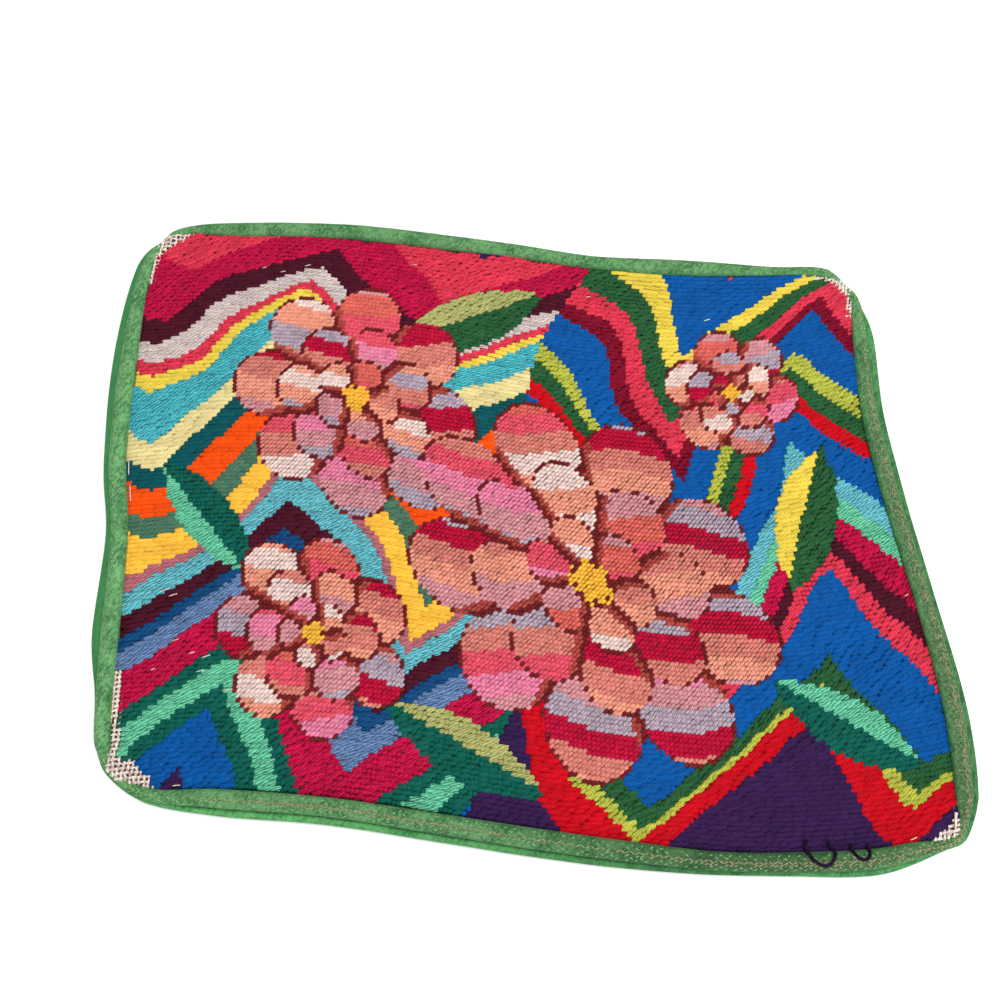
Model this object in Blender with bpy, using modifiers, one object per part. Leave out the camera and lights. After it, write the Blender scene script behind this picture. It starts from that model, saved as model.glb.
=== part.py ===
"""A needlepoint canvas panel, lying flat with its stitched face up.

The wool-covered canvas is edged with a fat velvet piping and backed with velvet, like the cover of a
cushion with nothing in it. Its stitches have pulled it out of square, so its outline is a slanted one
with round corners and wavy sides.

Metres, +Z up. The origin is the middle of the outline on the surface that the panel lies on, and +Y
points from the near edge to the far one.
"""

import math

import bmesh
import bpy
from mathutils import Vector, noise

MM = 0.001

# Cloth, in metres
GAP = 0.0003
CANVAS_THICK = 0.003
BACK_THICK = 0.0016
STATIONS_PER_ROW = 3
ROWS_ALONG_WIDTH = 12
ROWS_ALONG_DEPTH = 8

# The canvas rises to the middle of the piping at the seam, and has low waves elsewhere
SEAM_RISE = 0.0024
SEAM_RISE_REACH = 0.016
WAVE_HEIGHT = 0.0011
WAVE_LENGTH = 0.095
OVER_ROLL_CLEARANCE = 0.0010

# The piping's unevenness, as a share of its thickness
ROLL_UNEVEN = 0.035
ROLL_UNEVEN_LENGTH = 0.045

# The back's rim rolls up round the outside of the piping as far as FLANK_TURN, then over and down. It
# has its full height only where it reaches at least FULL_REACH past the piping.
FLANK_GAP = 0.0005
FLANK_TURN = math.radians(62.0)
FULL_REACH = 0.0045
RIM_TOP = 0.0052
RIM_TOP_AT = 0.4
RIM_SHOULDER_AT = 0.8
RIM_SHOULDER_SHARE = 0.6
RIM_WIDEST = 0.0024
RIM_WIDEST_SHARE = 0.7
RIM_UNDER_TIP = (0.0004, 0.0008)
RIM_UNDERCUT = 0.0016

# The purple wool loop
WOOL_DIAMETER = 0.0019
LOOP_STATIONS = 18

STITCHED_WOOL = (0.72, 0.28, 0.27)
PIPING_VELVET = (0.08, 0.38, 0.10)
BACK_VELVET = (0.07, 0.33, 0.09)
PURPLE_WOOL = (0.03, 0.015, 0.06)
CLOTH_ROUGHNESS = 0.85

# The seam between canvas and piping, clockwise from the far left corner, in millimetres. roll is the
# piping's thickness, out is how far its middle lies outside the seam, and rim is how far the velvet
# back rolls out past it.
SEAM = (
    # x, y, roll, out, rim
    (-222.3, 177.9, 5.0, 0.3, 2.8),  # far left corner
    (-215.9, 184.1, 4.8, 2.2, 0.9),
    (-196.6, 184.1, 7.5, 4.1, 2.2),
    (-169.7, 181.8, 9.9, 5.3, 3.2),
    (-126.5, 181.8, 9.8, 5.2, 3.2),
    (-86.4, 178.5, 10.4, 5.5, 3.2),
    (-39.7, 172.3, 10.2, 5.4, 3.2),
    (6.6, 166.2, 9.5, 5.1, 2.8),
    (59.1, 157.5, 9.2, 4.9, 2.6),
    (117.9, 152.2, 10.6, 5.6, 3.6),
    (176.9, 152.3, 7.0, 3.8, 1.2),
    (210.9, 151.8, 6.5, 3.6, 2.0),
    (223.5, 145.0, 5.0, 0.3, 2.6),  # far right corner
    (227.4, 134.7, 6.0, 3.3, 1.4),
    (225.4, 110.7, 8.8, 4.7, 6.4),
    (223.9, 54.3, 9.8, 5.2, 6.5),
    (229.9, -2.4, 9.8, 5.2, 6.2),
    (239.0, -58.6, 9.6, 5.1, 5.1),
    (246.6, -121.5, 10.0, 5.3, 5.7),
    (246.4, -167.5, 9.2, 4.9, 5.8),
    (245.7, -186.8, 6.4, 1.6, 3.6),  # near right corner
    (239.8, -191.8, 5.0, 2.8, 0.8),
    (220.9, -193.5, 8.4, 4.5, 2.7),
    (197.0, -197.0, 10.0, 5.3, 3.5),
    (159.1, -198.5, 10.0, 5.3, 2.4),
    (116.7, -198.3, 9.6, 5.1, 2.3),
    (74.5, -193.8, 10.2, 5.4, 3.6),
    (24.1, -187.3, 10.6, 5.6, 4.1),
    (-32.2, -179.3, 10.4, 5.5, 4.2),
    (-91.8, -171.1, 10.0, 5.3, 4.4),
    (-151.7, -166.8, 9.8, 5.2, 4.2),
    (-189.7, -166.2, 6.8, 3.7, 1.8),
    (-212.0, -157.8, 5.0, 0.3, 1.7),  # near left corner
    (-214.4, -142.5, 8.6, 4.6, 2.2),
    (-216.7, -115.5, 9.2, 4.9, 2.9),
    (-217.8, -80.7, 10.0, 5.3, 7.6),
    (-220.5, -21.2, 10.0, 5.3, 5.3),
    (-227.8, 26.4, 10.2, 5.4, 5.6),
    (-229.8, 97.8, 10.0, 5.3, 7.4),
    (-229.0, 157.8, 7.4, 4.0, 4.8),
)

# The route of the middle of the loop's wool, in millimetres, from where it leaves the stitches, over
# the piping and back. The piping's crest is at 11.9 here.
LOOP_ROUTE = (
    # x, y, z
    (163.0, -192.6, 9.3),
    (161.8, -196.4, 9.6),
    (162.3, -198.2, 10.5),
    (163.3, -201.0, 12.9),
    (166.6, -204.0, 13.4),
    (171.0, -205.2, 13.3),
    (174.7, -202.3, 13.3),
    (176.6, -198.9, 11.4),
    (175.8, -196.4, 9.8),
    (173.9, -193.4, 9.4),
)


def catmull_rom(before, start, end, after, t):
    """A value between start and end on a smooth curve through the four."""
    return 0.5 * (
        2.0 * start
        + (end - before) * t
        + (2.0 * before - 5.0 * start + 4.0 * end - after) * t**2
        + (3.0 * start - before - 3.0 * end + after) * t**3
    )


def seam_stations():
    """The stations along the seam, each an x, y, roll, out and rim in metres, clockwise."""
    stations = []
    count = len(SEAM)
    for row in range(count):
        before, start, end, after = (SEAM[(row + step) % count] for step in (-1, 0, 1, 2))
        for part in range(STATIONS_PER_ROW):
            t = part / STATIONS_PER_ROW
            stations.append([catmull_rom(*four, t) * MM for four in zip(before, start, end, after)])
    return stations


def outward(stations, index):
    """The level direction that points out of the panel at a station."""
    ahead = stations[(index + 1) % len(stations)]
    behind = stations[index - 1]
    along = Vector((ahead[0] - behind[0], ahead[1] - behind[1], 0.0)).normalized()
    return Vector((-along.y, along.x, 0.0))


class Edge:
    """One station of the panel's edge: the seam, the piping outside it and the back's rim past that."""

    def __init__(self, stations, index):
        x, y, roll, out, rim = stations[index]
        self.seam = Vector((x, y, 0.0))
        self.out_way = outward(stations, index)
        uneven = 1.0 + ROLL_UNEVEN * noise.noise(self.seam / ROLL_UNEVEN_LENGTH)
        self.radius = 0.5 * roll * uneven
        self.out = max(out, self.radius + GAP) if out > 0.5 * roll else out
        self.rim = rim
        self.roll_height = BACK_THICK + GAP + self.radius

    def beyond(self, distance, height):
        """The point at that distance outside the seam."""
        point = self.seam + self.out_way * distance
        return Vector((point.x, point.y, height))

    def roll_middle(self):
        return self.beyond(self.out, self.roll_height)


def centred_edges():
    """The edge's stations, moved so that the middle of the rim's box is the origin."""
    stations = seam_stations()
    edges = [Edge(stations, index) for index in range(len(stations))]
    tips = [edge.beyond(edge.out + edge.radius + edge.rim, 0.0) for edge in edges]
    middle_x = 0.5 * (min(tip.x for tip in tips) + max(tip.x for tip in tips))
    middle_y = 0.5 * (min(tip.y for tip in tips) + max(tip.y for tip in tips))
    middle = Vector((middle_x, middle_y, 0.0))
    for edge in edges:
        edge.seam -= middle
    return edges, middle


def canvas_underside(edges, point):
    """The height of the canvas's underside: low waves, a rise to the seam, and clear of the piping."""
    to_seam = min((edge.seam.xy - point.xy).length for edge in edges)
    wave = WAVE_HEIGHT * (0.5 + 0.5 * noise.noise(point / WAVE_LENGTH))
    rise = SEAM_RISE * math.exp(-((to_seam / SEAM_RISE_REACH) ** 2))
    height = BACK_THICK + GAP + wave + rise
    for edge in edges:
        middle = edge.roll_middle()
        away = (middle.xy - point.xy).length
        clear = edge.radius + OVER_ROLL_CLEARANCE
        if edge.out < edge.radius and away < clear:
            height = max(height, middle.z + math.sqrt(clear**2 - away**2))
    return height


def between(low, high, share):
    return low + (high - low) * share


def canvas_place(edges, across, down):
    """Where a point of the canvas lies, for shares 0 to 1 from left to right and from far to near."""
    width = ROWS_ALONG_WIDTH * STATIONS_PER_ROW
    depth = ROWS_ALONG_DEPTH * STATIONS_PER_ROW

    def at(index):
        edge = edges[round(index) % len(edges)]
        return edge.beyond(-GAP, 0.0)

    far = at(across * width)
    right = at(width + down * depth)
    near = at(2 * width + depth - across * width)
    left = at(2 * width + 2 * depth - down * depth)
    corners = between(
        between(at(0), at(width), across),
        between(at(2 * width + depth), at(width + depth), across),
        down,
    )
    return between(far, near, down) + between(left, right, across) - corners


def cloth(name, colour):
    """A plain matt material."""
    made = bpy.data.materials.new(name)
    made.use_nodes = True
    shader = made.node_tree.nodes["Principled BSDF"]
    shader.inputs["Base Color"].default_value = (*colour, 1.0)
    shader.inputs["Roughness"].default_value = CLOTH_ROUGHNESS
    return made


def add_object(collection, name, data, finish):
    made = bpy.data.objects.new(name, data)
    data.materials.append(finish)
    collection.objects.link(made)
    return made


def make_canvas(collection, edges):
    """The stitched front: a sheet as wide as the seam, given its thickness by Solidify."""
    width = ROWS_ALONG_WIDTH * STATIONS_PER_ROW
    depth = ROWS_ALONG_DEPTH * STATIONS_PER_ROW
    work = bmesh.new()
    bmesh.ops.create_grid(work, x_segments=width, y_segments=depth, size=0.5)
    for vert in work.verts:
        place = canvas_place(edges, vert.co.x + 0.5, 0.5 - vert.co.y)
        vert.co = (place.x, place.y, canvas_underside(edges, place))
    mesh = bpy.data.meshes.new("needlepoint_canvas")
    work.to_mesh(mesh)
    work.free()
    mesh.shade_smooth()
    canvas = add_object(collection, "needlepoint_canvas", mesh, cloth("stitched wool", STITCHED_WOOL))
    wall = canvas.modifiers.new("thickness", "SOLIDIFY")
    wall.thickness = CANVAS_THICK
    wall.offset = 1.0
    return canvas


def make_piping(collection, edges):
    """The velvet-covered cord: a closed tube whose thickness changes from station to station."""
    curve = bpy.data.curves.new("velvet_piping", "CURVE")
    curve.dimensions = "3D"
    curve.bevel_depth = 1.0
    curve.bevel_resolution = 4
    spline = curve.splines.new("POLY")
    spline.points.add(len(edges) - 1)
    for point, edge in zip(spline.points, edges):
        point.co = (*edge.roll_middle(), 1.0)
        point.radius = edge.radius
    spline.use_cyclic_u = True
    return add_object(collection, "velvet_piping", curve, cloth("piping velvet", PIPING_VELVET))


def rim_sections(edge):
    """The back's section at a station, from under the piping, over the rim and in below it."""
    swell = min(1.0, edge.rim / FULL_REACH)
    top = between(BACK_THICK, RIM_TOP, swell)
    clear = edge.radius + FLANK_GAP

    def flank(turn):
        """The point outside and below the piping, at a turn from straight down."""
        height = edge.roll_height - clear * math.cos(turn)
        return edge.out + clear * math.sin(turn), max(BACK_THICK, height)

    lip, lip_height = flank(FLANK_TURN * swell)
    tip = edge.out + edge.radius + edge.rim
    under_in, under_height = RIM_UNDER_TIP
    return (
        (edge.out - 0.5 * edge.radius, BACK_THICK),
        (edge.out, BACK_THICK),
        flank(0.5 * FLANK_TURN * swell),
        (lip, lip_height),
        (between(lip, tip, RIM_TOP_AT), max(top, lip_height)),
        (between(lip, tip, RIM_SHOULDER_AT), between(RIM_WIDEST, top, RIM_SHOULDER_SHARE)),
        (tip, min(RIM_WIDEST, RIM_WIDEST_SHARE * top)),
        (tip - under_in, under_height),
        (tip - RIM_UNDERCUT, 0.0),
    )


def make_back(collection, edges):
    """The velvet back: a thin sheet whose edge rolls up round the outside of the piping."""
    work = bmesh.new()
    sections = [[edge.beyond(*place) for place in rim_sections(edge)] for edge in edges]
    rings = []
    for places in zip(*sections):
        verts = [work.verts.new(place) for place in places]
        rings.append([work.edges.new((verts[i - 1], verts[i])) for i in range(len(verts))])
    for inner, outer in zip(rings, rings[1:]):
        bmesh.ops.bridge_loops(work, edges=inner + outer)
    for ring in (rings[0], rings[-1]):
        bmesh.ops.contextual_create(work, geom=ring)
    bmesh.ops.recalc_face_normals(work, faces=work.faces)
    mesh = bpy.data.meshes.new("velvet_back")
    work.to_mesh(mesh)
    work.free()
    mesh.shade_smooth()
    return add_object(collection, "velvet_back", mesh, cloth("back velvet", BACK_VELVET))


def make_wool_loop(collection, middle):
    """A pulled loop of wool that lies over the piping at the near edge."""
    curve = bpy.data.curves.new("wool_loop", "CURVE")
    curve.dimensions = "3D"
    curve.bevel_depth = 0.5 * WOOL_DIAMETER
    curve.bevel_resolution = 2
    curve.use_fill_caps = True
    spline = curve.splines.new("POLY")
    spline.points.add(LOOP_STATIONS - 1)
    spans = len(LOOP_ROUTE) - 1
    for index, point in enumerate(spline.points):
        along = spans * index / (LOOP_STATIONS - 1)
        span = min(int(along), spans - 1)
        four = [LOOP_ROUTE[min(max(span + step, 0), spans)] for step in (-1, 0, 1, 2)]
        place = Vector([catmull_rom(*values, along - span) * MM for values in zip(*four)])
        point.co = (*(place - middle), 1.0)
    return add_object(collection, "wool_loop", curve, cloth("purple wool", PURPLE_WOOL))


def main():
    for old in list(bpy.data.objects):
        bpy.data.objects.remove(old, do_unlink=True)
    collection = bpy.data.collections.new("needlepoint_canvas_panel")
    bpy.context.scene.collection.children.link(collection)
    edges, middle = centred_edges()
    make_canvas(collection, edges)
    make_piping(collection, edges)
    make_back(collection, edges)
    make_wool_loop(collection, middle)


main()
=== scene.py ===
# %% [markdown]
# # A needlepoint canvas panel
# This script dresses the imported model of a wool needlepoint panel: the front of a cushion cover, edged with
# a fat velvet piping, backed with velvet and lying flat with nothing in it. Cells follow the order in which
# a maker would work: look at the frame, set up the camera, lay out the canvas, choose the yarns, stitch, and
# sew on the velvet. Every length is in metres and every piece is in the frame's own place.

import math

import bmesh
import bpy
import numpy as np
from mathutils import Matrix, Vector, noise
from mathutils.bvhtree import BVHTree


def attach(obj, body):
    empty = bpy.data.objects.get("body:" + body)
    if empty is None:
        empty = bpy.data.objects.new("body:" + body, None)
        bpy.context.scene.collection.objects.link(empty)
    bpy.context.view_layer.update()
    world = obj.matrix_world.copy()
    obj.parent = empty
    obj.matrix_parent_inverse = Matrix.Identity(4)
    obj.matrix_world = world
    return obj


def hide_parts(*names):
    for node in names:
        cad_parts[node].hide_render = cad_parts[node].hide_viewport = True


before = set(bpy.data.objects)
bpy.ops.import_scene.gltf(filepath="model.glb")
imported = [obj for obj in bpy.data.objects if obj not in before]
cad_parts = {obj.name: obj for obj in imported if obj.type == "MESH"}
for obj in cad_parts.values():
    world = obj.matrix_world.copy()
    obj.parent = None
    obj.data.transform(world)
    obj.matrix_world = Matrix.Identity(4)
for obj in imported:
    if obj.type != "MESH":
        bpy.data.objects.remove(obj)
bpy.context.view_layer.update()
MM = 0.001
print("solids of the frame:", sorted(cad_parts))

# %% [markdown]
# ## The seam that everything hangs on
# On the real cover one line of sewing holds the canvas, the piping and the back together. The table gives
# that line in millimetres, clockwise from the far left corner, with the piping's thickness, how far its
# middle lies outside the seam, and how far the back rolls out past it. The solids were made from the same
# table, so a piece made from it needs no fitting. A smooth curve is drawn through the rows.

# %% The seam's table
SEAM = (
    # x, y, roll, out, rim
    (-222.3, 177.9, 5.0, 0.3, 2.8),  # far left corner
    (-215.9, 184.1, 4.8, 2.2, 0.9),
    (-196.6, 184.1, 7.5, 4.1, 2.2),
    (-169.7, 181.8, 9.9, 5.3, 3.2),
    (-126.5, 181.8, 9.8, 5.2, 3.2),
    (-86.4, 178.5, 10.4, 5.5, 3.2),
    (-39.7, 172.3, 10.2, 5.4, 3.2),
    (6.6, 166.2, 9.5, 5.1, 2.8),
    (59.1, 157.5, 9.2, 4.9, 2.6),
    (117.9, 152.2, 10.6, 5.6, 3.6),
    (176.9, 152.3, 7.0, 3.8, 1.2),
    (210.9, 151.8, 6.5, 3.6, 2.0),
    (223.5, 145.0, 5.0, 0.3, 2.6),  # far right corner
    (227.4, 134.7, 6.0, 3.3, 1.4),
    (225.4, 110.7, 8.8, 4.7, 6.4),
    (223.9, 54.3, 9.8, 5.2, 6.5),
    (229.9, -2.4, 9.8, 5.2, 6.2),
    (239.0, -58.6, 9.6, 5.1, 5.1),
    (246.6, -121.5, 10.0, 5.3, 5.7),
    (246.4, -167.5, 9.2, 4.9, 5.8),
    (245.7, -186.8, 6.4, 1.6, 3.6),  # near right corner
    (239.8, -191.8, 5.0, 2.8, 0.8),
    (220.9, -193.5, 8.4, 4.5, 2.7),
    (197.0, -197.0, 10.0, 5.3, 3.5),
    (159.1, -198.5, 10.0, 5.3, 2.4),
    (116.7, -198.3, 9.6, 5.1, 2.3),
    (74.5, -193.8, 10.2, 5.4, 3.6),
    (24.1, -187.3, 10.6, 5.6, 4.1),
    (-32.2, -179.3, 10.4, 5.5, 4.2),
    (-91.8, -171.1, 10.0, 5.3, 4.4),
    (-151.7, -166.8, 9.8, 5.2, 4.2),
    (-189.7, -166.2, 6.8, 3.7, 1.8),
    (-212.0, -157.8, 5.0, 0.3, 1.7),  # near left corner
    (-214.4, -142.5, 8.6, 4.6, 2.2),
    (-216.7, -115.5, 9.2, 4.9, 2.9),
    (-217.8, -80.7, 10.0, 5.3, 7.6),
    (-220.5, -21.2, 10.0, 5.3, 5.3),
    (-227.8, 26.4, 10.2, 5.4, 5.6),
    (-229.8, 97.8, 10.0, 5.3, 7.4),
    (-229.0, 157.8, 7.4, 4.0, 4.8),
)
MIDDLE = (7.9337, -8.0609, 0.0)  # the middle of the solids' outline, in the table's own millimetres
STATIONS_PER_ROW = 12

# What lies between two pieces of cloth, the back's own thickness, and how uneven the roll is
GAP = 0.0003
BACK_THICK = 0.0016
ROLL_UNEVEN, ROLL_UNEVEN_LENGTH = 0.035, 0.045


# %% A smooth curve through the table
def catmull_rom(before, start, end, after, t):
    """A value between start and end on a smooth curve through the four."""
    return 0.5 * (
        2.0 * start
        + (end - before) * t
        + (2.0 * before - 5.0 * start + 4.0 * end - after) * t**2
        + (3.0 * start - before - 3.0 * end + after) * t**3
    )


def seam_stations():
    """Close stations along the seam, each an x, y, roll, out and rim in metres."""
    stations = []
    for row in range(len(SEAM)):
        four = [SEAM[(row + step) % len(SEAM)] for step in (-1, 0, 1, 2)]
        for part in range(STATIONS_PER_ROW):
            t = part / STATIONS_PER_ROW
            stations.append([catmull_rom(*values, t) * MM for values in zip(*four)])
    return stations


class Edge:
    """One station of the panel's edge: the seam, the piping outside it and the back's rim past that."""

    def __init__(self, stations, index):
        x, y, roll, out, rim = stations[index]
        ahead, behind = stations[(index + 1) % len(stations)], stations[index - 1]
        along = Vector((ahead[0] - behind[0], ahead[1] - behind[1], 0.0)).normalized()
        self.seam = Vector((x, y, 0.0))
        self.out_way = Vector((-along.y, along.x, 0.0))
        uneven = 1.0 + ROLL_UNEVEN * noise.noise(self.seam / ROLL_UNEVEN_LENGTH)
        self.radius = 0.5 * roll * uneven
        self.out = max(out, self.radius + GAP) if out > 0.5 * roll else out
        self.rim = rim
        self.roll_height = BACK_THICK + GAP + self.radius

    def beyond(self, distance, height):
        """The point at that distance outside the seam."""
        return self.seam + self.out_way * distance + Vector((0.0, 0.0, height))


stations = seam_stations()
edges = [Edge(stations, index) for index in range(len(stations))]
middle = Vector(MIDDLE) * MM
for edge in edges:
    edge.seam -= middle
seam_line = np.array([edge.seam.xy for edge in edges])
seam_out = np.array([edge.out_way.xy for edge in edges])
roll_radius = np.array([edge.radius for edge in edges])
print(f"{len(edges)} stations along the seam")

# %% [markdown]
# ## Camera
# The rows and columns of stitches in the photograph, measured in pixels, give the lens and the height that
# they were seen from: 870 pixels of focal length on a frame of 1000, looking 72 degrees down from 530 mm.
# The picture's middle looks at the table's own zero point.

# %% Camera
LOOKING_DOWN = math.radians(72.0)
CAMERA_DISTANCE = 0.530
FOCAL_PIXELS, FRAME_PIXELS = 870, 1000
SENSOR_WIDTH = 36.0
camera_data = bpy.data.cameras.new("camera")
camera_data.sensor_width = SENSOR_WIDTH
camera_data.lens = SENSOR_WIDTH * FOCAL_PIXELS / FRAME_PIXELS
camera = bpy.data.objects.new("camera", camera_data)
camera.location = -middle + CAMERA_DISTANCE * Vector((0.0, -math.cos(LOOKING_DOWN), math.sin(LOOKING_DOWN)))
camera.rotation_euler = (math.pi / 2 - LOOKING_DOWN, 0.0, 0.0)
bpy.context.scene.collection.objects.link(camera)
bpy.context.scene.camera = camera
print("camera at", [round(value, 4) for value in camera.location])


# %% [markdown]
# ## Shader maths written as sums
# A material is a net of small nodes. The class below wraps one socket, so that a formula such as
# `1 - 0.4 * fuzz` adds the nodes for it, and one method makes any other kind of node. An attribute of the
# mesh and soft noise are asked for so often that each has a short function.

# %% The class for shader maths
class Dye:
    """One socket of a material's nodes. Sums on it add Math nodes to the same material."""

    def __init__(self, tree, socket=None):
        self.tree, self.socket = tree, socket

    def node(self, kind, settings=None, values=None, out=0):
        """Adds a node: its settings first, then what goes into its sockets, by name or number."""
        made = self.tree.nodes.new("ShaderNode" + kind)
        for name, value in (settings or {}).items():
            setattr(made, name, value)
        for name, value in (values or {}).items():
            if isinstance(value, Dye):
                self.tree.links.new(value.socket, made.inputs[name])
            else:
                made.inputs[name].default_value = value
        return Dye(self.tree, made.outputs[out])

    def sibling(self, out):
        """Another output of the node that this socket belongs to."""
        return Dye(self.tree, self.socket.node.outputs[out])

    def maths(self, operation, *others):
        """A Math node on this value and any others."""
        return self.node("Math", {"operation": operation}, dict(enumerate((self, *others))))

    def __add__(self, other):
        return self.maths("ADD", other)

    def __sub__(self, other):
        return self.maths("SUBTRACT", other)

    def __rsub__(self, other):
        return self.node("Math", {"operation": "SUBTRACT"}, {0: other, 1: self})

    def __mul__(self, other):
        return self.maths("MULTIPLY", other)

    def __pow__(self, other):
        return self.maths("POWER", other)

    __radd__, __rmul__ = __add__, __mul__

    def mix(self, first, second):
        """A colour between two, by this value."""
        return self.node("Mix", {"data_type": "RGBA"}, {0: self, 6: first, 7: second}, out=2)

    def shade(self, colour):
        """A colour made lighter or darker by this value."""
        return self.node("VectorMath", {"operation": "SCALE"}, {0: colour, "Scale": self})

    def step(self, low, high):
        """0 below low and 1 above high, with a soft step between them."""
        settings = {"interpolation_type": "SMOOTHSTEP"}
        return self.node("MapRange", settings, {"Value": self, "From Min": low, "From Max": high})


def linear(red, green, blue):
    """A colour as shaders want it, from the 0 to 255 that a picture gives, by the usual sRGB curve."""
    shares = [value / 255 for value in (red, green, blue)]
    return (*(v / 12.92 if v < 0.04045 else ((v + 0.055) / 1.055) ** 2.4 for v in shares), 1.0)


def new_material(name):
    """A material and a Dye for its nodes, with an output and a Principled shader ready."""
    material = bpy.data.materials.new(name)
    material.use_nodes = True
    return material, material.node_tree.nodes["Principled BSDF"], Dye(material.node_tree)


def attribute(dye, name):
    """A value that the mesh keeps for each of its points."""
    return dye.node("Attribute", {"attribute_name": name}, out="Fac")


def cloudy(dye, place, scale, detail, roughness=0.5):
    """Soft noise from 0 to 1 at a place."""
    values = {"Vector": place, "Scale": scale, "Detail": detail, "Roughness": roughness}
    return dye.node("TexNoise", values=values)


def plug(shader, **inputs):
    """Sets or links the shader's sockets, named with _ for a space."""
    for name, value in inputs.items():
        socket = shader.inputs[name.replace("_", " ")]
        if isinstance(value, Dye):
            value.tree.links.new(value.socket, socket)
        else:
            socket.default_value = value


print("shader maths ready")

# %% [markdown]
# ## Pieces
# Each piece is a mesh whose points are already in place, so its object stays at the origin. Many pieces
# start as a flat grid, which one operator makes with its own map, and which is then bent into place: rolled
# round the cord for the piping, or laid over the solid for the canvas.

# %% Helpers that make pieces
SAME_POINT = 1e-6


def add_piece(name, mesh, material):
    """Puts a finished mesh in the scene, on the one body of the frame."""
    mesh.name = name
    mesh.materials.append(material)
    piece = bpy.data.objects.new(name, mesh)
    bpy.context.scene.collection.objects.link(piece)
    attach(piece, "root")
    return piece


def bent_grid(columns, rows, place, merge=0.0, marks=None):
    """A mesh made from a grid of columns by rows. place(u, v) gives each point's spot for shares 0 to 1, and
    each mark is a function of u and v too, whose value is kept as an attribute."""
    work = bmesh.new()
    work.loops.layers.uv.new("cloth")
    bmesh.ops.create_grid(work, x_segments=columns, y_segments=rows, size=0.5, calc_uvs=True)
    layers = {work.verts.layers.float.new(name): mark for name, mark in (marks or {}).items()}
    for vert in work.verts:
        u, v = vert.co.x + 0.5, vert.co.y + 0.5
        for layer, mark in layers.items():
            vert[layer] = mark(u, v)
        vert.co = place(u, v)
    if merge:
        bmesh.ops.remove_doubles(work, verts=work.verts, dist=merge)
    return work


def to_mesh(work, name):
    """The finished mesh, with smooth faces that point outwards."""
    bmesh.ops.recalc_face_normals(work, faces=work.faces)
    mesh = bpy.data.meshes.new(name)
    work.to_mesh(mesh)
    work.free()
    mesh.shade_smooth()
    return mesh


def grid_solid(columns, rows, place, thick, name):
    """A sheet of that thickness, whose upper face is the grid. It is extruded straight down, so a pinched
    corner can't throw a spike as it would if each point moved along its own normal."""
    work = bent_grid(columns, rows, place)
    made = bmesh.ops.extrude_face_region(work, geom=work.faces[:], use_keep_orig=True)["geom"]
    lower = [part for part in made if isinstance(part, bmesh.types.BMVert)]
    bmesh.ops.translate(work, verts=lower, vec=(0.0, 0.0, -thick))
    return to_mesh(work, name)


print("piece helpers ready")

# %% [markdown]
# ## The purple loops
# Two loops of the purple wool were snagged and hang over the piping on the near side. Both ends of each go
# back into the stitches. It is a limp two-ply yarn, so two strands are wound round the route. The large loop
# follows the route of the solid, and the small one is a mere bump of yarn beside it.

# %% The loops' routes
WOOL_DIAMETER = 0.0019
LOOP_ROUTE = (
    # x, y, z in millimetres
    (163.0, -192.6, 9.3),
    (161.8, -196.4, 9.6),
    (162.3, -198.2, 10.5),
    (163.3, -201.0, 12.9),
    (166.6, -204.0, 13.4),
    (171.0, -205.2, 13.3),
    (174.7, -202.3, 13.3),
    (176.6, -198.9, 11.4),
    (175.8, -196.4, 9.8),
    (173.9, -193.4, 9.4),
)
SMALL_LOOP_ROUTE = (
    (186.4, -194.8, 9.1),
    (186.2, -197.9, 10.2),
    (187.9, -200.9, 12.6),
    (190.8, -202.1, 13.0),
    (193.6, -200.9, 12.6),
    (195.0, -197.9, 10.3),
    (194.7, -194.8, 9.1),
)
STATIONS_PER_SPAN = 4


def route_points(route):
    """Points on a smooth curve through the rows of a route, in the panel's own place."""
    spans = len(route) - 1
    points = []
    for index in range(spans * STATIONS_PER_SPAN + 1):
        span = min(index // STATIONS_PER_SPAN, spans - 1)
        four = [route[min(max(span + step, 0), spans)] for step in (-1, 0, 1, 2)]
        share = index / STATIONS_PER_SPAN - span
        points.append(Vector([catmull_rom(*values, share) * MM for values in zip(*four)]) - middle)
    return points


def line_length(line):
    """The length of a line of points."""
    return sum((b - a).length for a, b in zip(line, line[1:]))


loop_line, small_loop_line = route_points(LOOP_ROUTE), route_points(SMALL_LOOP_ROUTE)
loop_lengths = [round(line_length(line) / MM, 1) for line in (loop_line, small_loop_line)]
print("the loops in millimetres:", loop_lengths)


# %% Two plies wound round a line
LOOP_LAY = 0.0062
STRAND_SHARE = 0.43
MAP_TURN = 0.25


def wound_plies(line, diameter, lay, name, plies=2, sides=8):
    """Strands wound round a line, one turn in each lay, as one mesh."""
    work = bmesh.new()
    maps = work.loops.layers.uv.new("yarn")
    strand = STRAND_SHARE * diameter
    for ply in range(plies):
        turned, rings = 0.0, []
        for index, spot in enumerate(line):
            ahead = line[min(index + 1, len(line) - 1)] - line[max(index - 1, 0)]
            turned += 0.0 if index == 0 else (spot - line[index - 1]).length / lay
            frame_of = ahead.to_track_quat("Z", "Y").to_matrix().to_4x4()
            angle = 2 * math.pi * (turned + ply / plies)
            offset = Vector((math.cos(angle), math.sin(angle), 0.0)) * (0.5 * diameter - strand)
            place = Matrix.Translation(spot) @ frame_of @ Matrix.Translation(offset)
            ring = bmesh.ops.create_circle(work, segments=sides, radius=strand, matrix=place)["verts"]
            rings.append([edge for edge in work.edges if edge.verts[0] in ring and edge.verts[1] in ring])
        for low, high in zip(rings, rings[1:]):
            bmesh.ops.bridge_loops(work, edges=low + high)
        bmesh.ops.holes_fill(work, edges=rings[0] + rings[-1])
    for face in work.faces:
        for loop in face.loops:
            loop[maps].uv = (MAP_TURN, (loop.vert.co - line[0]).length / lay)
    return to_mesh(work, name)


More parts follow.
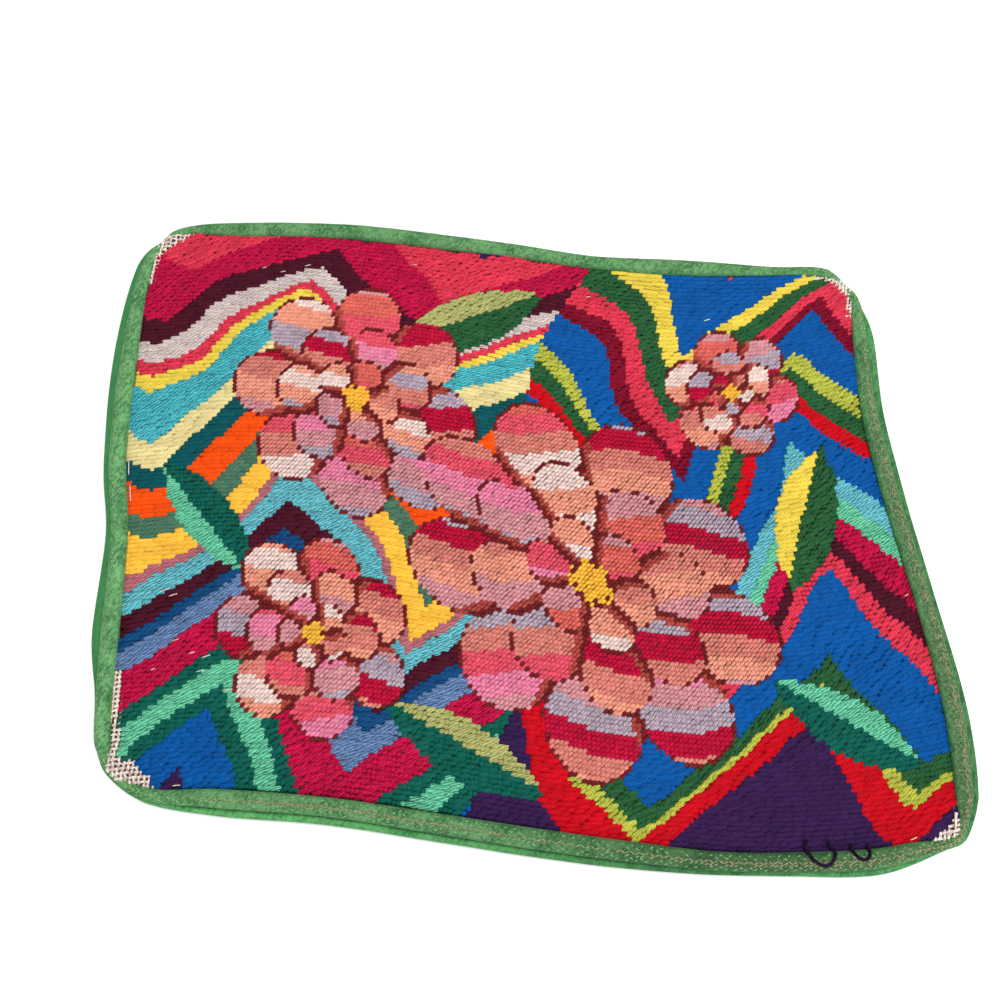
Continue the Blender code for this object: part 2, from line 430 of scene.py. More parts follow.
loop_mesh = wound_plies(loop_line, WOOL_DIAMETER, LOOP_LAY, "wool_loop_plies")
small_loop_mesh = wound_plies(small_loop_line, WOOL_DIAMETER, LOOP_LAY, "small_wool_loop_plies")
print(f"the loops have {len(loop_mesh.polygons)} and {len(small_loop_mesh.polygons)} faces")

# %% [markdown]
# ## Floor and light
# A pale table top and two broad lamps in a pale room. One is high above the far right of the panel, for
# soft shadows between the stitches. The other is lower, near and to the right, and lifts them.

# %% The floor
FLOOR_SIDE, FLOOR_DROP = 8.0, 0.0004
TABLE_SHADES = ((0.93, 0.93, 0.93, 1), (0.95, 0.95, 0.945, 1))
work = bmesh.new()
bmesh.ops.create_grid(work, x_segments=1, y_segments=1, size=0.5 * FLOOR_SIDE)
bmesh.ops.translate(work, verts=work.verts, vec=(0.0, 0.0, -FLOOR_DROP))
floor_mesh = to_mesh(work, "floor")
floor_finish, shader, dye = new_material("pale table")
grain = cloudy(dye, dye.node("TexCoord", out="Object"), 0.4, 2.0)
plug(shader, Base_Color=grain.mix(*TABLE_SHADES), Roughness=0.9)
floor_mesh.materials.append(floor_finish)
floor = bpy.data.objects.new("floor", floor_mesh)
bpy.context.scene.collection.objects.link(floor)
print("floor laid")

# %% The lamps and the room
LAMPS = (
    # name, place, side, watts, colour
    ("key lamp", (0.3, 0.3, 1.4), 0.8, 19.0, (1.0, 0.985, 0.96)),
    ("fill lamp", (0.45, -1.2, 1.0), 1.2, 12.0, (0.96, 0.98, 1.0)),
)
ROOM_COLOUR, ROOM_STRENGTH = (0.97, 0.98, 1.0, 1.0), 0.55
for name, place, side, power, colour in LAMPS:
    lamp_data = bpy.data.lights.new(name, "AREA")
    lamp_data.shape, lamp_data.size = "SQUARE", side
    lamp_data.energy, lamp_data.color = power, colour
    lamp = bpy.data.objects.new(name, lamp_data)
    lamp.location = place
    lamp.rotation_euler = (-Vector(place)).to_track_quat("-Z", "Y").to_euler()
    bpy.context.scene.collection.objects.link(lamp)
world = bpy.data.worlds.new("pale room")
world.use_nodes = True
world.node_tree.nodes["Background"].inputs["Color"].default_value = ROOM_COLOUR
world.node_tree.nodes["Background"].inputs["Strength"].default_value = ROOM_STRENGTH
bpy.context.scene.world = world
bpy.context.scene.view_settings.view_transform = "Standard"
print(f"{len(LAMPS)} lamps hung")

# %% [markdown]
# ## Where each hole of the canvas lies
# Needlepoint canvas is a net of threads with a hole every 2.54 mm, ten to the inch. The tug of slanting
# stitches has pulled this one out of square: its rows fall to the right, its columns lean, and both lean
# more in the middle than along the edges, which are sewn down. So the holes are laid out between four bowed
# sides that are fitted to the seam, then shifted in a slow wave that dies out at the edges. The net goes on
# for a few holes past the pattern, because the seam bulges past the bowed sides here and there.

# %% The net of holes
COLUMNS, ROWS = 182, 133
THREAD_PITCH = 0.00254
MARGIN = 5
ROW_SHIFT, COLUMN_SHIFT = 0.0033, 0.0031
BOW_DEGREE = 3
CORNER_ROUNDS = 20
BOW_ROWS = {"far": range(2, 11), "right": range(14, 20), "near": range(22, 31), "left": range(33, 40)}


def bowed_side(side):
    """A curve through the seam's rows on one side: y of x on the long sides, x of y on the short ones."""
    spots = np.array([SEAM[row][:2] for row in BOW_ROWS[side]]) * MM - np.array(middle.xy)
    upright = side in ("left", "right")
    return np.polynomial.Polynomial.fit(spots[:, int(upright)], spots[:, int(not upright)], BOW_DEGREE)


sides = {name: bowed_side(name) for name in BOW_ROWS}


def sharp_corner(long_side, short_side):
    """Where a long and a short side would meet if the corner weren't rounded off."""
    x = y = 0.0
    for _ in range(CORNER_ROUNDS):
        y = sides[long_side](x)
        x = sides[short_side](y)
    return np.array([x, y])


corners = {(v, u): sharp_corner(("far", "near")[v], ("left", "right")[u]) for v in (0, 1) for u in (0, 1)}


def net_place(u, v):
    """x and y for shares 0 to 1 of the net's width and depth, as arrays."""
    u, v = np.asarray(u, float)[..., None], np.asarray(v, float)[..., None]

    def along(name, share, first, last, upright):
        """Points of a side, from its first corner to its last one."""
        run = first[upright] + (last[upright] - first[upright]) * share[..., 0]
        pair = (sides[name](run), run) if upright else (run, sides[name](run))
        return np.stack(pair, axis=-1)

    far = along("far", u, corners[0, 0], corners[0, 1], 0)
    near = along("near", u, corners[1, 0], corners[1, 1], 0)
    left = along("left", v, corners[0, 0], corners[1, 0], 1)
    right = along("right", v, corners[0, 1], corners[1, 1], 1)
    square = (1 - v) * ((1 - u) * corners[0, 0] + u * corners[0, 1])
    square = square + v * ((1 - u) * corners[1, 0] + u * corners[1, 1])
    spots = (1 - v) * far + v * near + (1 - u) * left + u * right - square
    across, down = 2 * u[..., 0] - 1, 2 * v[..., 0] - 1
    held = np.sqrt(np.clip(np.cos(0.5 * np.pi * across) * np.cos(0.5 * np.pi * down), 0, 1))
    spots[..., 0] += COLUMN_SHIFT * np.sin(np.pi * down) * held
    spots[..., 1] -= ROW_SHIFT * np.sin(np.pi * across) * held
    return spots


hole_columns, hole_rows = np.meshgrid(
    np.arange(-MARGIN, COLUMNS + MARGIN + 1), np.arange(-MARGIN, ROWS + MARGIN + 1)
)
holes = net_place(hole_columns / COLUMNS, hole_rows / ROWS)
pitch = np.linalg.norm(np.diff(holes, axis=1), axis=2).mean()
print(f"{COLUMNS} by {ROWS} stitches at {pitch / MM:.2f} mm")

# %% [markdown]
# The heights come from the canvas solid itself: a ray dropped on it from above gives the top of the cloth,
# and the holes lie a stitch's thickness below that.

# %% Heights of the net
STITCH_THICK = 0.0019
ABOVE, DOWN = 0.03, Vector((0.0, 0.0, -1.0))
EDGE_HEIGHT = 0.0072


def solid_tree(name):
    """The faces of a solid of the frame, ready to be met by a ray."""
    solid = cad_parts[name].data
    faces = [tuple(face.vertices) for face in solid.polygons]
    return BVHTree.FromPolygons([vert.co for vert in solid.vertices], faces)


def under_ray(tree, x, y):
    """Where a ray dropped at x and y meets a solid, or None."""
    return tree.ray_cast(Vector((x, y, ABOVE)), DOWN)[0]


canvas_tree = solid_tree("needlepoint_canvas")


def canvas_top(x, y):
    """The height of the canvas solid's upper face, or of its nearest edge for a point beside it."""
    met = under_ray(canvas_tree, x, y)
    return (met or canvas_tree.find_nearest(Vector((x, y, EDGE_HEIGHT)))[0]).z


hole_tops = np.array([canvas_top(x, y) for x, y in holes.reshape(-1, 2)]).reshape(hole_rows.shape)
hole_spots = np.dstack([holes, hole_tops - STITCH_THICK])
print(f"the cloth over the holes is {hole_tops.min() / MM:.1f} to {hole_tops.max() / MM:.1f} mm high")

# %% [markdown]
# ## The wool's colours
# The yarns are bright crewel shades, each named here with its dye's colour from 0 to 255. Under the lamps the
# tops of the stitches look lighter than this, and the shade between them darker.

# %% Yarns
YARNS = {
    "coral": (204, 50, 72),
    "crimson": (176, 12, 60),
    "plum": (66, 12, 30),
    "oyster": (190, 174, 170),
    "turquoise": (66, 160, 170),
    "aubergine": (46, 22, 66),
    "royal": (2, 76, 144),
    "mint": (90, 174, 138),
    "marigold": (232, 174, 58),
    "scarlet": (180, 2, 20),
    "garnet": (116, 6, 34),
    "sage": (160, 160, 98),
    "lemon": (214, 188, 68),
    "lime": (168, 172, 64),
    "fern": (36, 84, 48),
    "teal": (4, 74, 80),
    "cream": (212, 196, 136),
    "orange": (228, 72, 8),
    "moss": (68, 106, 84),
    "mauve": (162, 94, 102),
    "aqua": (88, 162, 172),
    "steel": (12, 64, 110),
    "lavender": (90, 116, 156),
    "bottle": (8, 84, 72),
    "salmon": (208, 124, 112),
    "peach": (228, 150, 126),
    "shell": (228, 202, 194),
    "rose": (224, 126, 158),
    "lilac": (174, 156, 170),
    "watermelon": (218, 80, 100),
    "ruby": (180, 14, 54),
    "tangerine": (214, 100, 90),
    "blush": (204, 140, 146),
    "brick": (164, 68, 60),
    "maroon": (108, 30, 32),
}
print(f"{len(YARNS)} yarns")

# %% [markdown]
# ## What is stitched
# The pattern is a stock one: blooms in tent stitch over bargello flames in long stitch. Nothing in it is
# drawn by hand. Each bloom is rings of round petals, worked out from the distance and direction to its
# middle, and each petal is striped across like patchwork. The flames are bands that rise and fall along
# one zigzag line, and a leaf lies between two arcs, with a light half and a dark one.

# %% A number that looks random
CHANCE_FACTORS = (12.9898, 78.233, 37.719, 4.581)
CHANCE_SPREAD = 43758.5453


def chance(*numbers):
    """A share from 0 to 1 that looks random but is always the same for the same numbers."""
    mixed = math.sin(sum(n * k for n, k in zip(numbers, CHANCE_FACTORS))) * CHANCE_SPREAD
    return mixed - math.floor(mixed)


print("first shares:", [round(chance(n), 2) for n in range(4)])

# %% The flames
FLAME_TURNS = (
    # column, how many rows the flames rise there
    (-30, 4), (16, -12), (48, 17), (84, -13), (112, 12), (148, -19), (176, 10), (205, -12), (240, 8),
)  # fmt: skip
FLAME_RISE = 1.05
LEAN, SWAY, SWAY_ROWS = 0.22, 5, 17
FADE, FADE_ROWS, FADE_COLUMNS = 0.35, 31, 60
SWELLS = (
    # rows, columns in a wave, where it starts, rows in a wave, where it starts
    (5.0, 21, 1.3, 19, 0.4),
    (2.6, 9, 0.0, 30, 1.1),
    (1.8, 13, 2.0, 6, 0.0),
    (1.2, 4.1, 0.5, 7, 0.9),
)
FIRST_BAND = -34
MEETING = 112
LEFT_BANDS = (
    # yarn and rows of each band, from the far edge to the near one
    "cream 4 fern 5 royal 8 aubergine 7 coral 12 crimson 10 plum 7 oyster 6 coral 3 lemon 3 turquoise 8 "
    "cream 7 teal 7 orange 10 moss 6 marigold 8 mauve 3 aqua 7 plum 7 steel 5 lavender 9 crimson 15 bottle 6 "
    "mint 8 bottle 6 royal 13 aubergine 9 fern 8 royal 12 crimson 9"
)
RIGHT_BANDS = (
    "coral 9 aubergine 8 coral 6 royal 13 lemon 4 fern 6 coral 5 garnet 4 royal 10 lime 5 fern 6 scarlet 5 "
    "royal 11 aqua 7 mint 6 crimson 8 plum 5 coral 6 royal 16 fern 6 lime 3 scarlet 8 aubergine 30"
)


def read_bands(text):
    """The yarns of a row of bands and the heights where they end, from their names and widths."""
    words = text.split()
    return words[::2], FIRST_BAND + np.cumsum([int(width) for width in words[1::2]])


bands = {"left": read_bands(LEFT_BANDS), "right": read_bands(RIGHT_BANDS)}


def flame_yarn(column, row):
    """The yarn of the flame bands at a spot of the net."""
    leaning = column + LEAN * row + SWAY * math.sin(row / SWAY_ROWS)
    rise = float(np.interp(leaning, *zip(*FLAME_TURNS)))
    height = row + FLAME_RISE * rise * (1 - FADE * math.sin(row / FADE_ROWS + column / FADE_COLUMNS))
    for size, wide, shift, deep, turn in SWELLS:
        height += size * math.sin(column / wide + shift) * math.cos(row / deep + turn)
    yarns, ends = bands["left" if leaning < MEETING else "right"]
    return yarns[min(int(np.searchsorted(ends, height, side="right")), len(yarns) - 1)]


print({name: len(yarns) for name, (yarns, _) in bands.items()}, "bands")

# %% The blooms
BLOOMS = (
    # column, row, radius in stitches, petals, turn
    (108, 79, 43, 9, 0.3),
    (56, 43, 31, 8, 0.1),
    (42, 100, 23, 7, 0.5),
    (151, 30, 17, 6, 0.2),
)
RINGS = ((0.36, -3), (0.67, -1), (1.0, 0))  # share of the radius, and petals next to the outer ring's
FEWEST_PETALS = 5
PAST_PETALS, HEART, HEART_RIM, HEART_FILL = 1.02, 0.086, 0.12, 0.4
TAPER, ROUNDNESS = 0.24, 2.2
LEAST_REACH, REACH_SPREAD = 0.97, 0.05
OUTLINE = 0.6
SHADE_WIDE, SHADE_SPREAD, SHADED_RADIUS = 1.6, 0.04, 16
STRIPE_LEAST, STRIPE_SPREAD, STRIPE_SLIP = 4, 3, 5
STRIPE_WAVE, STRIPE_COLUMNS = 2, 7
PETAL_SHADES = (
    "salmon peach shell lilac salmon watermelon blush peach ruby shell rose tangerine lilac salmon peach "
    "blush watermelon"
).split()


def petal_yarn(bloom, level, petal, column, row):
    """The stripes across one petal. The whole numbers only shuffle the shades from petal to petal."""
    radius = BLOOMS[bloom][2]
    wide = STRIPE_LEAST + int(STRIPE_SPREAD * chance(level, bloom, 7))
    slip = petal * STRIPE_SLIP * chance(petal, level, bloom + 3)
    slip += STRIPE_WAVE * math.sin(column / STRIPE_COLUMNS + petal)
    stripe = int((row + radius * 9 + slip) // wide)
    return PETAL_SHADES[(stripe * 5 + petal * 3 + level * 2 + bloom) % len(PETAL_SHADES)]


def bloom_yarn(column, row):
    """The yarn of the bloom that covers a spot, or None."""
    for bloom, (middle_column, middle_row, radius, petals, turn) in enumerate(BLOOMS):
        across, up = column - middle_column, middle_row - row
        far = math.hypot(across, up)
        if far > PAST_PETALS * radius:
            continue
        if far < HEART_RIM * radius:
            filled = far < HEART * radius or chance(column, row, bloom) > HEART_FILL
            return "marigold" if filled else "maroon"
        for level, (share, more) in enumerate(RINGS, 1):
            count = max(FEWEST_PETALS, petals + more)
            reach = radius * share
            turned = (math.atan2(up, across) + turn + level * math.pi / count) / (2 * math.pi) * count
            petal = math.floor(turned % count)
            aside = turned % count - petal - 0.5
            uneven = LEAST_REACH + REACH_SPREAD * chance(petal, level, bloom)
            rim = reach * (1 - TAPER * abs(2 * aside) ** ROUNDNESS) * uneven
            if far < rim:
                to_side = (0.5 - abs(aside)) * 2 * math.pi / count * far
                shaded = aside > 0 and radius > SHADED_RADIUS
                if min(rim - far, to_side) < OUTLINE:
                    return "maroon"
                if shaded and to_side < SHADE_WIDE + SHADE_SPREAD * (reach - far):
                    return "brick"
                return petal_yarn(bloom, level, petal, column, row)
    return None


print("the first bloom's middle is", bloom_yarn(*BLOOMS[0][:2]))

# %% The leaves
LEAVES = (
    # column, row, half length, half width, direction, shaded side, lit side
    (84, 18, 20, 7, 0.5, "fern", "sage"),
    (18, 74, 17, 6, 2.2, "bottle", "mint"),
    (76, 120, 19, 6, -0.35, "bottle", "sage"),
    (163, 62, 18, 7, 1.1, "fern", "lemon"),
    (160, 108, 18, 6, -0.6, "bottle", "mint"),
)
LEAF_POINT = 0.9
RIB_ASIDE = 0.9


def leaf_yarn(column, row):
    """The yarn of the leaf that covers a spot, or None."""
    for middle_column, middle_row, half, wide, turn, shaded, lit in LEAVES:
        across, up = column - middle_column, middle_row - row
        along = across * math.cos(turn) + up * math.sin(turn)
        aside = up * math.cos(turn) - across * math.sin(turn)
        if abs(along) < half and abs(aside) < wide * (1 - (along / half) ** 2) ** LEAF_POINT:
            return lit if aside > RIB_ASIDE else shaded
    return None


print("the middle of the first leaf is", leaf_yarn(*LEAVES[0][:2]))

# %% [markdown]
# ## Bare canvas
# The corners were never stitched, nor were narrow strips next to three of them, so the white threads of the
# canvas show there. Two lines give the first and the last stitched column at each row.

# %% Bare zones
OPEN_LEFT, OPEN_RIGHT = -MARGIN, COLUMNS + MARGIN
FIRST_STITCHED = (
    # row, column
    (-5.0, 9.0), (0.2, 7.8), (1.2, 6.0), (2.2, 4.0), (4.0, 3.0), (5.2, 1.4), (9.8, 1.2), (12.5, 0.8),
    (13.0, OPEN_LEFT), (107.8, OPEN_LEFT), (108.2, 0.6), (114.5, 0.9), (122.8, 1.8), (126.3, 2.3),
    (127.2, 4.8), (128.0, 7.0), (129.0, 7.9), (130.3, 8.6), (130.6, 10.2), (133.0, 11.0),
)  # fmt: skip
LAST_STITCHED = (
    (-5.0, 170.0), (1.6, 171.2), (2.8, 175.5), (5.0, 176.5), (5.8, 177.7), (7.0, 178.3), (8.0, 180.2),
    (13.5, 180.6), (14.0, OPEN_RIGHT), (129.8, OPEN_RIGHT), (130.1, 180.2), (130.9, 181.0), (131.4, 179.6),
    (132.3, 179.0), (132.5, 178.2), (138.0, 177.6),
)  # fmt: skip


def is_bare(column, row):
    """Whether a spot of the net was left unstitched."""
    first, last = (np.interp(row, *zip(*line)) for line in (FIRST_STITCHED, LAST_STITCHED))
    return not first <= column <= last


print("the far left corner is bare:", is_bare(2, 2))

# %% [markdown]
# ## Laying out the stitches
# Three kinds of stitch cover the canvas. The blooms are tent stitch, which climbs over one crossing. Wide
# bands are long stitches, which lie almost flat along a row over three to five threads, with the breaks of
# one row between those of the next, as in brickwork. Thin yarns are worked over one or two threads and
# climb like tent stitch. All of it was done by hand, so the climb drifts from place to place. A stitch ends
# where its colour does, which gives the bands their toothed edges. First every crossing of the canvas gets
# its yarn, then each row is worked from left to right.

# %% How far inside the seam a point lies
DEPTH_BATCH = 4000
UNDER_ROLL = 0.43


def depth_inside(spots, roll_share=0.0):
    """How far inside the seam each point is, in metres, below 0 for one outside it. With a share given, it is
    measured from a line that lies that share of the roll's radius further out, under the piping."""
    spots = np.asarray(spots, float).reshape(-1, 2)
    depths = np.empty(len(spots))
    for start in range(0, len(spots), DEPTH_BATCH):
        batch = slice(start, start + DEPTH_BATCH)
        away = spots[batch, None] - seam_line[None]
        nearest = (away**2).sum(2).argmin(1)
        inwards = -(away[np.arange(len(nearest)), nearest] * seam_out[nearest]).sum(1)
        depths[batch] = inwards + roll_share * roll_radius[nearest]
    return depths


hole_room = depth_inside(holes, UNDER_ROLL).reshape(hole_rows.shape)
print(f"{int((hole_room > 0).sum())} holes lie inside the seam or just under the piping")

# %% The yarn of every crossing
cell_inside = (hole_room[1:, :-1] > 0) & (hole_room[:-1, 1:] > 0)
work_rows = range(-MARGIN, ROWS + MARGIN)
work_columns = range(-MARGIN, COLUMNS + MARGIN)
plan = {}
for row in work_rows:
    for column in work_columns:
        if cell_inside[row + MARGIN, column + MARGIN] and not is_bare(column + 0.5, row + 0.5):
            petals = bloom_yarn(column, row)
            ground = None if petals else leaf_yarn(column, row) or flame_yarn(column, row)
            plan[column, row] = (petals or ground, bool(petals))
print(f"{len(plan)} crossings are stitched")

# %% How a stitch climbs and how long it is
SHORT_YARNS = {"crimson", "coral", "fern", "bottle", "sage", "lime", "garnet"}
FULL_YARNS = {"royal", "scarlet", "aubergine"}
FLAT_CLIMB, FULL_CLIMB, SHORT_CLIMB, TENT_CLIMB = 0.1, 0.3, 0.42, 0.5
DRIFTS = ((0.16, 13, 7), (0.1, 5.3, -4.1))  # threads, and the columns and rows of a wave
LONGEST = 5

# The fewest threads that a stitch goes over, and the spread above that
SHORT_RUNS, FULL_RUNS, LONG_RUNS, FIRST_RUNS = (1, 2.4), (2, 2.6), (3, 3), (1, 5)


def climb_at(yarn, is_tent, column, row):
    """How far a stitch rises on either side of the middle of its row, in threads."""
    if is_tent:
        return TENT_CLIMB
    climb = SHORT_CLIMB if yarn in SHORT_YARNS else FULL_CLIMB if yarn in FULL_YARNS else FLAT_CLIMB
    return sum(size * math.sin(column / wide + row / deep) for size, wide, deep in DRIFTS) + climb


def run_for(yarn, before, room, share):
    """How many threads a stitch goes over, when there is room for so many in its colour."""
    if yarn in SHORT_YARNS:
        least, spread = SHORT_RUNS
    elif yarn in FULL_YARNS:
        least, spread = FULL_RUNS
    else:
        least, spread = LONG_RUNS if yarn == before else FIRST_RUNS
    run = min(room, least + int(share * spread))
    takes_last = room - run == 1 and run < LONGEST and yarn not in SHORT_YARNS | FULL_YARNS
    return run + 1 if takes_last else run


print("the climb of a long stitch is", round(climb_at("cream", False, 0, 0), 2))

# %% Every stitch
stitches = {}
for row in work_rows:
    column, before = work_columns[0], None
    while column <= work_columns[-1]:
        yarn, is_tent = plan.get((column, row), (None, True))
        run = 1
        if not is_tent:
            room = 1
            while room <= LONGEST + 1 and plan.get((column + room, row)) == (yarn, False):
                room += 1
            run = run_for(yarn, before, room, chance(column, row, 2))
        if yarn:
            climb = climb_at(yarn, is_tent, column, row)
            place = (column, row + 0.5 + climb, column + run, row + 0.5 - climb)
            stitches.setdefault((yarn, run), []).append(place)
        column, before = column + run, yarn
by_run = [sum(len(stitches.get((yarn, run), ())) for yarn in YARNS) for run in range(1, LONGEST + 1)]
print("stitches over one to five threads:", by_run)


# %% [markdown]
# ## The shape of a stitch
# A stitch is a soft little arch of yarn, thin where it dives into its holes. One small closed mesh of five
# sides is made ring by ring with extrude, and thousands of copies are set between their holes. Its first
# map, yarn, gives how far round and how far along a point is. The second, OFBake, gives each copy a square
# of its own, so that its shading can be stored.

# %% One stitch
def stitch_shape(sides, rings):
    """A closed arch along X from 0 to 1. Each ring is its place along, its height and its girth."""
    work = bmesh.new()
    upright = Matrix.Rotation(math.radians(90), 4, "Y")
    ring = bmesh.ops.create_circle(work, segments=sides, radius=1.0, matrix=upright)["verts"]
    first = edge_loop = work.edges[:]
    at = (0.0, 0.0, 1.0)
    for along, height, girth in rings:
        if at != (0.0, 0.0, 1.0):
            made = bmesh.ops.extrude_edge_only(work, edges=edge_loop)["geom"]
            ring = [part for part in made if isinstance(part, bmesh.types.BMVert)]
            edge_loop = [part for part in made if isinstance(part, bmesh.types.BMEdge)]
        bmesh.ops.translate(work, verts=ring, vec=(-at[0], 0.0, -at[1]))
        bmesh.ops.scale(work, verts=ring, vec=(1.0, girth / at[2], girth / at[2]))
        bmesh.ops.translate(work, verts=ring, vec=(along, 0.0, height))
        at = (along, height, girth)
    bmesh.ops.contextual_create(work, geom=first)
    bmesh.ops.contextual_create(work, geom=edge_loop)
    bmesh.ops.recalc_face_normals(work, faces=work.faces)
    bmesh.ops.triangulate(work, faces=work.faces)
    return work


class Shape:
    """A stitch's points, triangles and, for each triangle's corners, how far round and along they are."""

    def __init__(self, sides, rings):
        work = stitch_shape(sides, rings)
        heights = {round(along, 4): height for along, height, _ in rings}
        self.points = np.array([vert.co for vert in work.verts])
        self.faces = np.array([[vert.index for vert in face.verts] for face in work.faces])
        turns = []
        for vert in work.verts:
            rise = vert.co.z - heights[round(vert.co.x, 4)]
            turns.append(math.atan2(vert.co.y, rise) / (2 * math.pi) % 1.0)
        around = np.array(turns)[self.faces]
        wraps = around.max(1) - around.min(1) > 0.5
        around[wraps] += around[wraps] < 0.5
        along = self.points[self.faces][:, :, 0]
        self.on_end = np.ptp(along, axis=1) < SAME_POINT
        self.around, self.along = around, along
        work.free()


YARN_SIDES = 5
TENT_RINGS = (
    # place along the stitch, height, girth
    (-0.02, -0.5, 0.6), (0.2, -0.06, 0.95), (0.5, 0.08, 1.06), (0.8, -0.06, 0.95), (1.02, -0.5, 0.6),
)  # fmt: skip
PAIR_RINGS = (
    (0.0, -0.45, 0.65), (0.12, -0.03, 0.95), (0.5, 0.08, 1.03), (0.88, -0.03, 0.95), (1.0, -0.45, 0.65),
)  # fmt: skip
LONG_RINGS = (
    (0.0, -0.42, 0.62), (0.07, -0.03, 0.94), (0.35, 0.06, 1.02), (0.65, 0.06, 1.02), (0.93, -0.03, 0.94),
    (1.0, -0.42, 0.62),
)  # fmt: skip
run_shapes = {1: Shape(YARN_SIDES, TENT_RINGS), 2: Shape(YARN_SIDES, PAIR_RINGS)}
run_shapes.update(dict.fromkeys(range(3, LONGEST + 1), Shape(YARN_SIDES, LONG_RINGS)))
print("triangles in each shape:", {run: len(shape.faces) for run, shape in run_shapes.items()})

# %% Copies of a stitch between their holes
LAY = 0.0052
UNEVEN, UNEVEN_LIMITS = 0.07, (0.8, 1.2)
SIDE_SLIP = 0.00012
random = np.random.default_rng(21)
STRAIGHT_UP = np.array([[0.0, 0.0, 1.0]])

# Where a copy's side and its two ends lie in its own square of the bake map
BAKE_CORNER, BAKE_WIDE, BAKE_LONG, MOST_ROUND = 0.04, 0.92, 0.86, 1.25
END_PLACE, END_SIZE = (0.5, 0.95), (0.2, 0.02)


def copies(shape, starts, ends, half_wide, half_thick, lift, ups=STRAIGHT_UP, worn=0.0):
    """One copy of the shape for each start: its points, triangles, places in both maps, and marks."""
    count = len(starts)
    ways = ends - starts
    lengths = np.linalg.norm(ways, axis=1, keepdims=True)
    aside = np.cross(ups, ways / lengths)
    aside /= np.linalg.norm(aside, axis=1, keepdims=True)
    wide = half_wide * (1 + UNEVEN * random.standard_normal((count, 1))).clip(*UNEVEN_LIMITS)
    thick = half_thick * (1 + UNEVEN * random.standard_normal((count, 1))).clip(*UNEVEN_LIMITS)
    starts = starts + aside * SIDE_SLIP * random.standard_normal((count, 1))
    x, y, z = (shape.points[:, axis][None, :, None] for axis in range(3))
    points = starts[:, None] + ways[:, None] * x + (aside * wide)[:, None] * y
    points = points + ups[:, None] * (lift + thick[:, None] * z)
    faces = shape.faces[None] + len(shape.points) * np.arange(count)[:, None, None]
    start_turn = random.random((count, 1, 1))
    around = np.broadcast_to(shape.around, (count, *shape.around.shape))
    yarn_map = np.stack([around, start_turn + shape.along * lengths[:, :, None] / LAY], axis=-1)
    bake_across = BAKE_CORNER + BAKE_WIDE * shape.around / MOST_ROUND
    bake = np.stack([bake_across, BAKE_CORNER + BAKE_LONG * shape.along], axis=-1)
    ends_bake = np.array(END_PLACE) + np.array(END_SIZE) * shape.points[shape.faces][:, :, 1:]
    bake = np.where(shape.on_end[:, None, None], ends_bake, bake)
    marks = {
        "tint": np.repeat(random.random(count), len(shape.points)),
        "crown": np.tile(np.clip((shape.points[:, 2] + 1.0) / 2.0, 0, 1), count),
        "worn": np.repeat(np.broadcast_to(worn, (count,)), len(shape.points)),
    }
    return {
        "count": count,
        "points": points.reshape(-1, 3),
        "faces": faces.reshape(-1, 3),
        "yarn": yarn_map.reshape(-1, 2),
        "bake": bake,
        "marks": marks,
    }


def sewn_mesh(name, batches):
    """One mesh from batches of copies, each copy in its own square of the bake map."""
    squares = math.ceil(math.sqrt(sum(batch["count"] for batch in batches)))
    faces, bake_map = [], []
    first_point = first_copy = 0
    for batch in batches:
        faces.append(batch["faces"] + first_point)
        index = first_copy + np.arange(batch["count"])
        square = np.stack([index % squares, index // squares], axis=-1)[:, None, None, :]
        bake_map.append(((square + batch["bake"][None]) / squares).reshape(-1, 2))
        first_point += len(batch["points"])
        first_copy += batch["count"]
    points, faces = np.concatenate([batch["points"] for batch in batches]), np.concatenate(faces)
    mesh = bpy.data.meshes.new(name)
    mesh.vertices.add(len(points))
    mesh.vertices.foreach_set("co", points.astype(np.float32).ravel())
    mesh.loops.add(faces.size)
    mesh.loops.foreach_set("vertex_index", faces.astype(np.int32).ravel())
    mesh.polygons.add(len(faces))
    mesh.polygons.foreach_set("loop_start", np.arange(0, faces.size, 3, dtype=np.int32))
    mesh.update(calc_edges=True)
    for map_name, values in (("yarn", [batch["yarn"] for batch in batches]), ("OFBake", bake_map)):
        layer = mesh.uv_layers.new(name=map_name)
        layer.data.foreach_set("uv", np.concatenate(values).astype(np.float32).ravel())
    for mark in batches[0]["marks"]:
        values = np.concatenate([batch["marks"][mark] for batch in batches])
        made = mesh.attributes.new(mark, "FLOAT", "POINT")
        made.data.foreach_set("value", values.astype(np.float32))
    mesh.shade_smooth()
    return mesh


print("stitch copies ready")

# %% [markdown]
# ## Wool
# Crewel wool is matt and a little hairy, with a faint shine where light rakes over the twist of its plies.
# The plies show as fine slanting ridges round the stitch, which a wave on the yarn map makes as a bump. The
# same wave and some hairy streaks are also painted into the colour, as highlight on the ridges and shade in
# the grooves. The dye is uneven, each stitch is a touch lighter or darker than the next, and painted shade
# darkens the yarn where it dives into a hole.

# %% How coarse each yarn is
COARSENESS = {
    0.5: "royal cream teal aubergine scarlet orange marigold lemon plum bottle".split(),
    1.25: "salmon peach shell watermelon blush ruby rose tangerine".split(),
    1.5: "turquoise aqua mint lilac crimson lavender".split(),
}


def coarseness(yarn):
    """How strongly a yarn shows its strands and their painted highlight and shade, 1 for most."""
    return next((value for value, yarns in COARSENESS.items() if yarn in yarns), 1.0)


print("salmon's strands:", coarseness("salmon"))

# %% The wool's material
PLIES, TWIST, WANDER = 6.0, 1.4, 1.2
HAIRS_ROUND, HAIRS_ALONG, HAIRS_APART = 9.0, 2.0, 50.0
RIDGE_POWER, MEAN_RIDGE = 0.6, 0.7
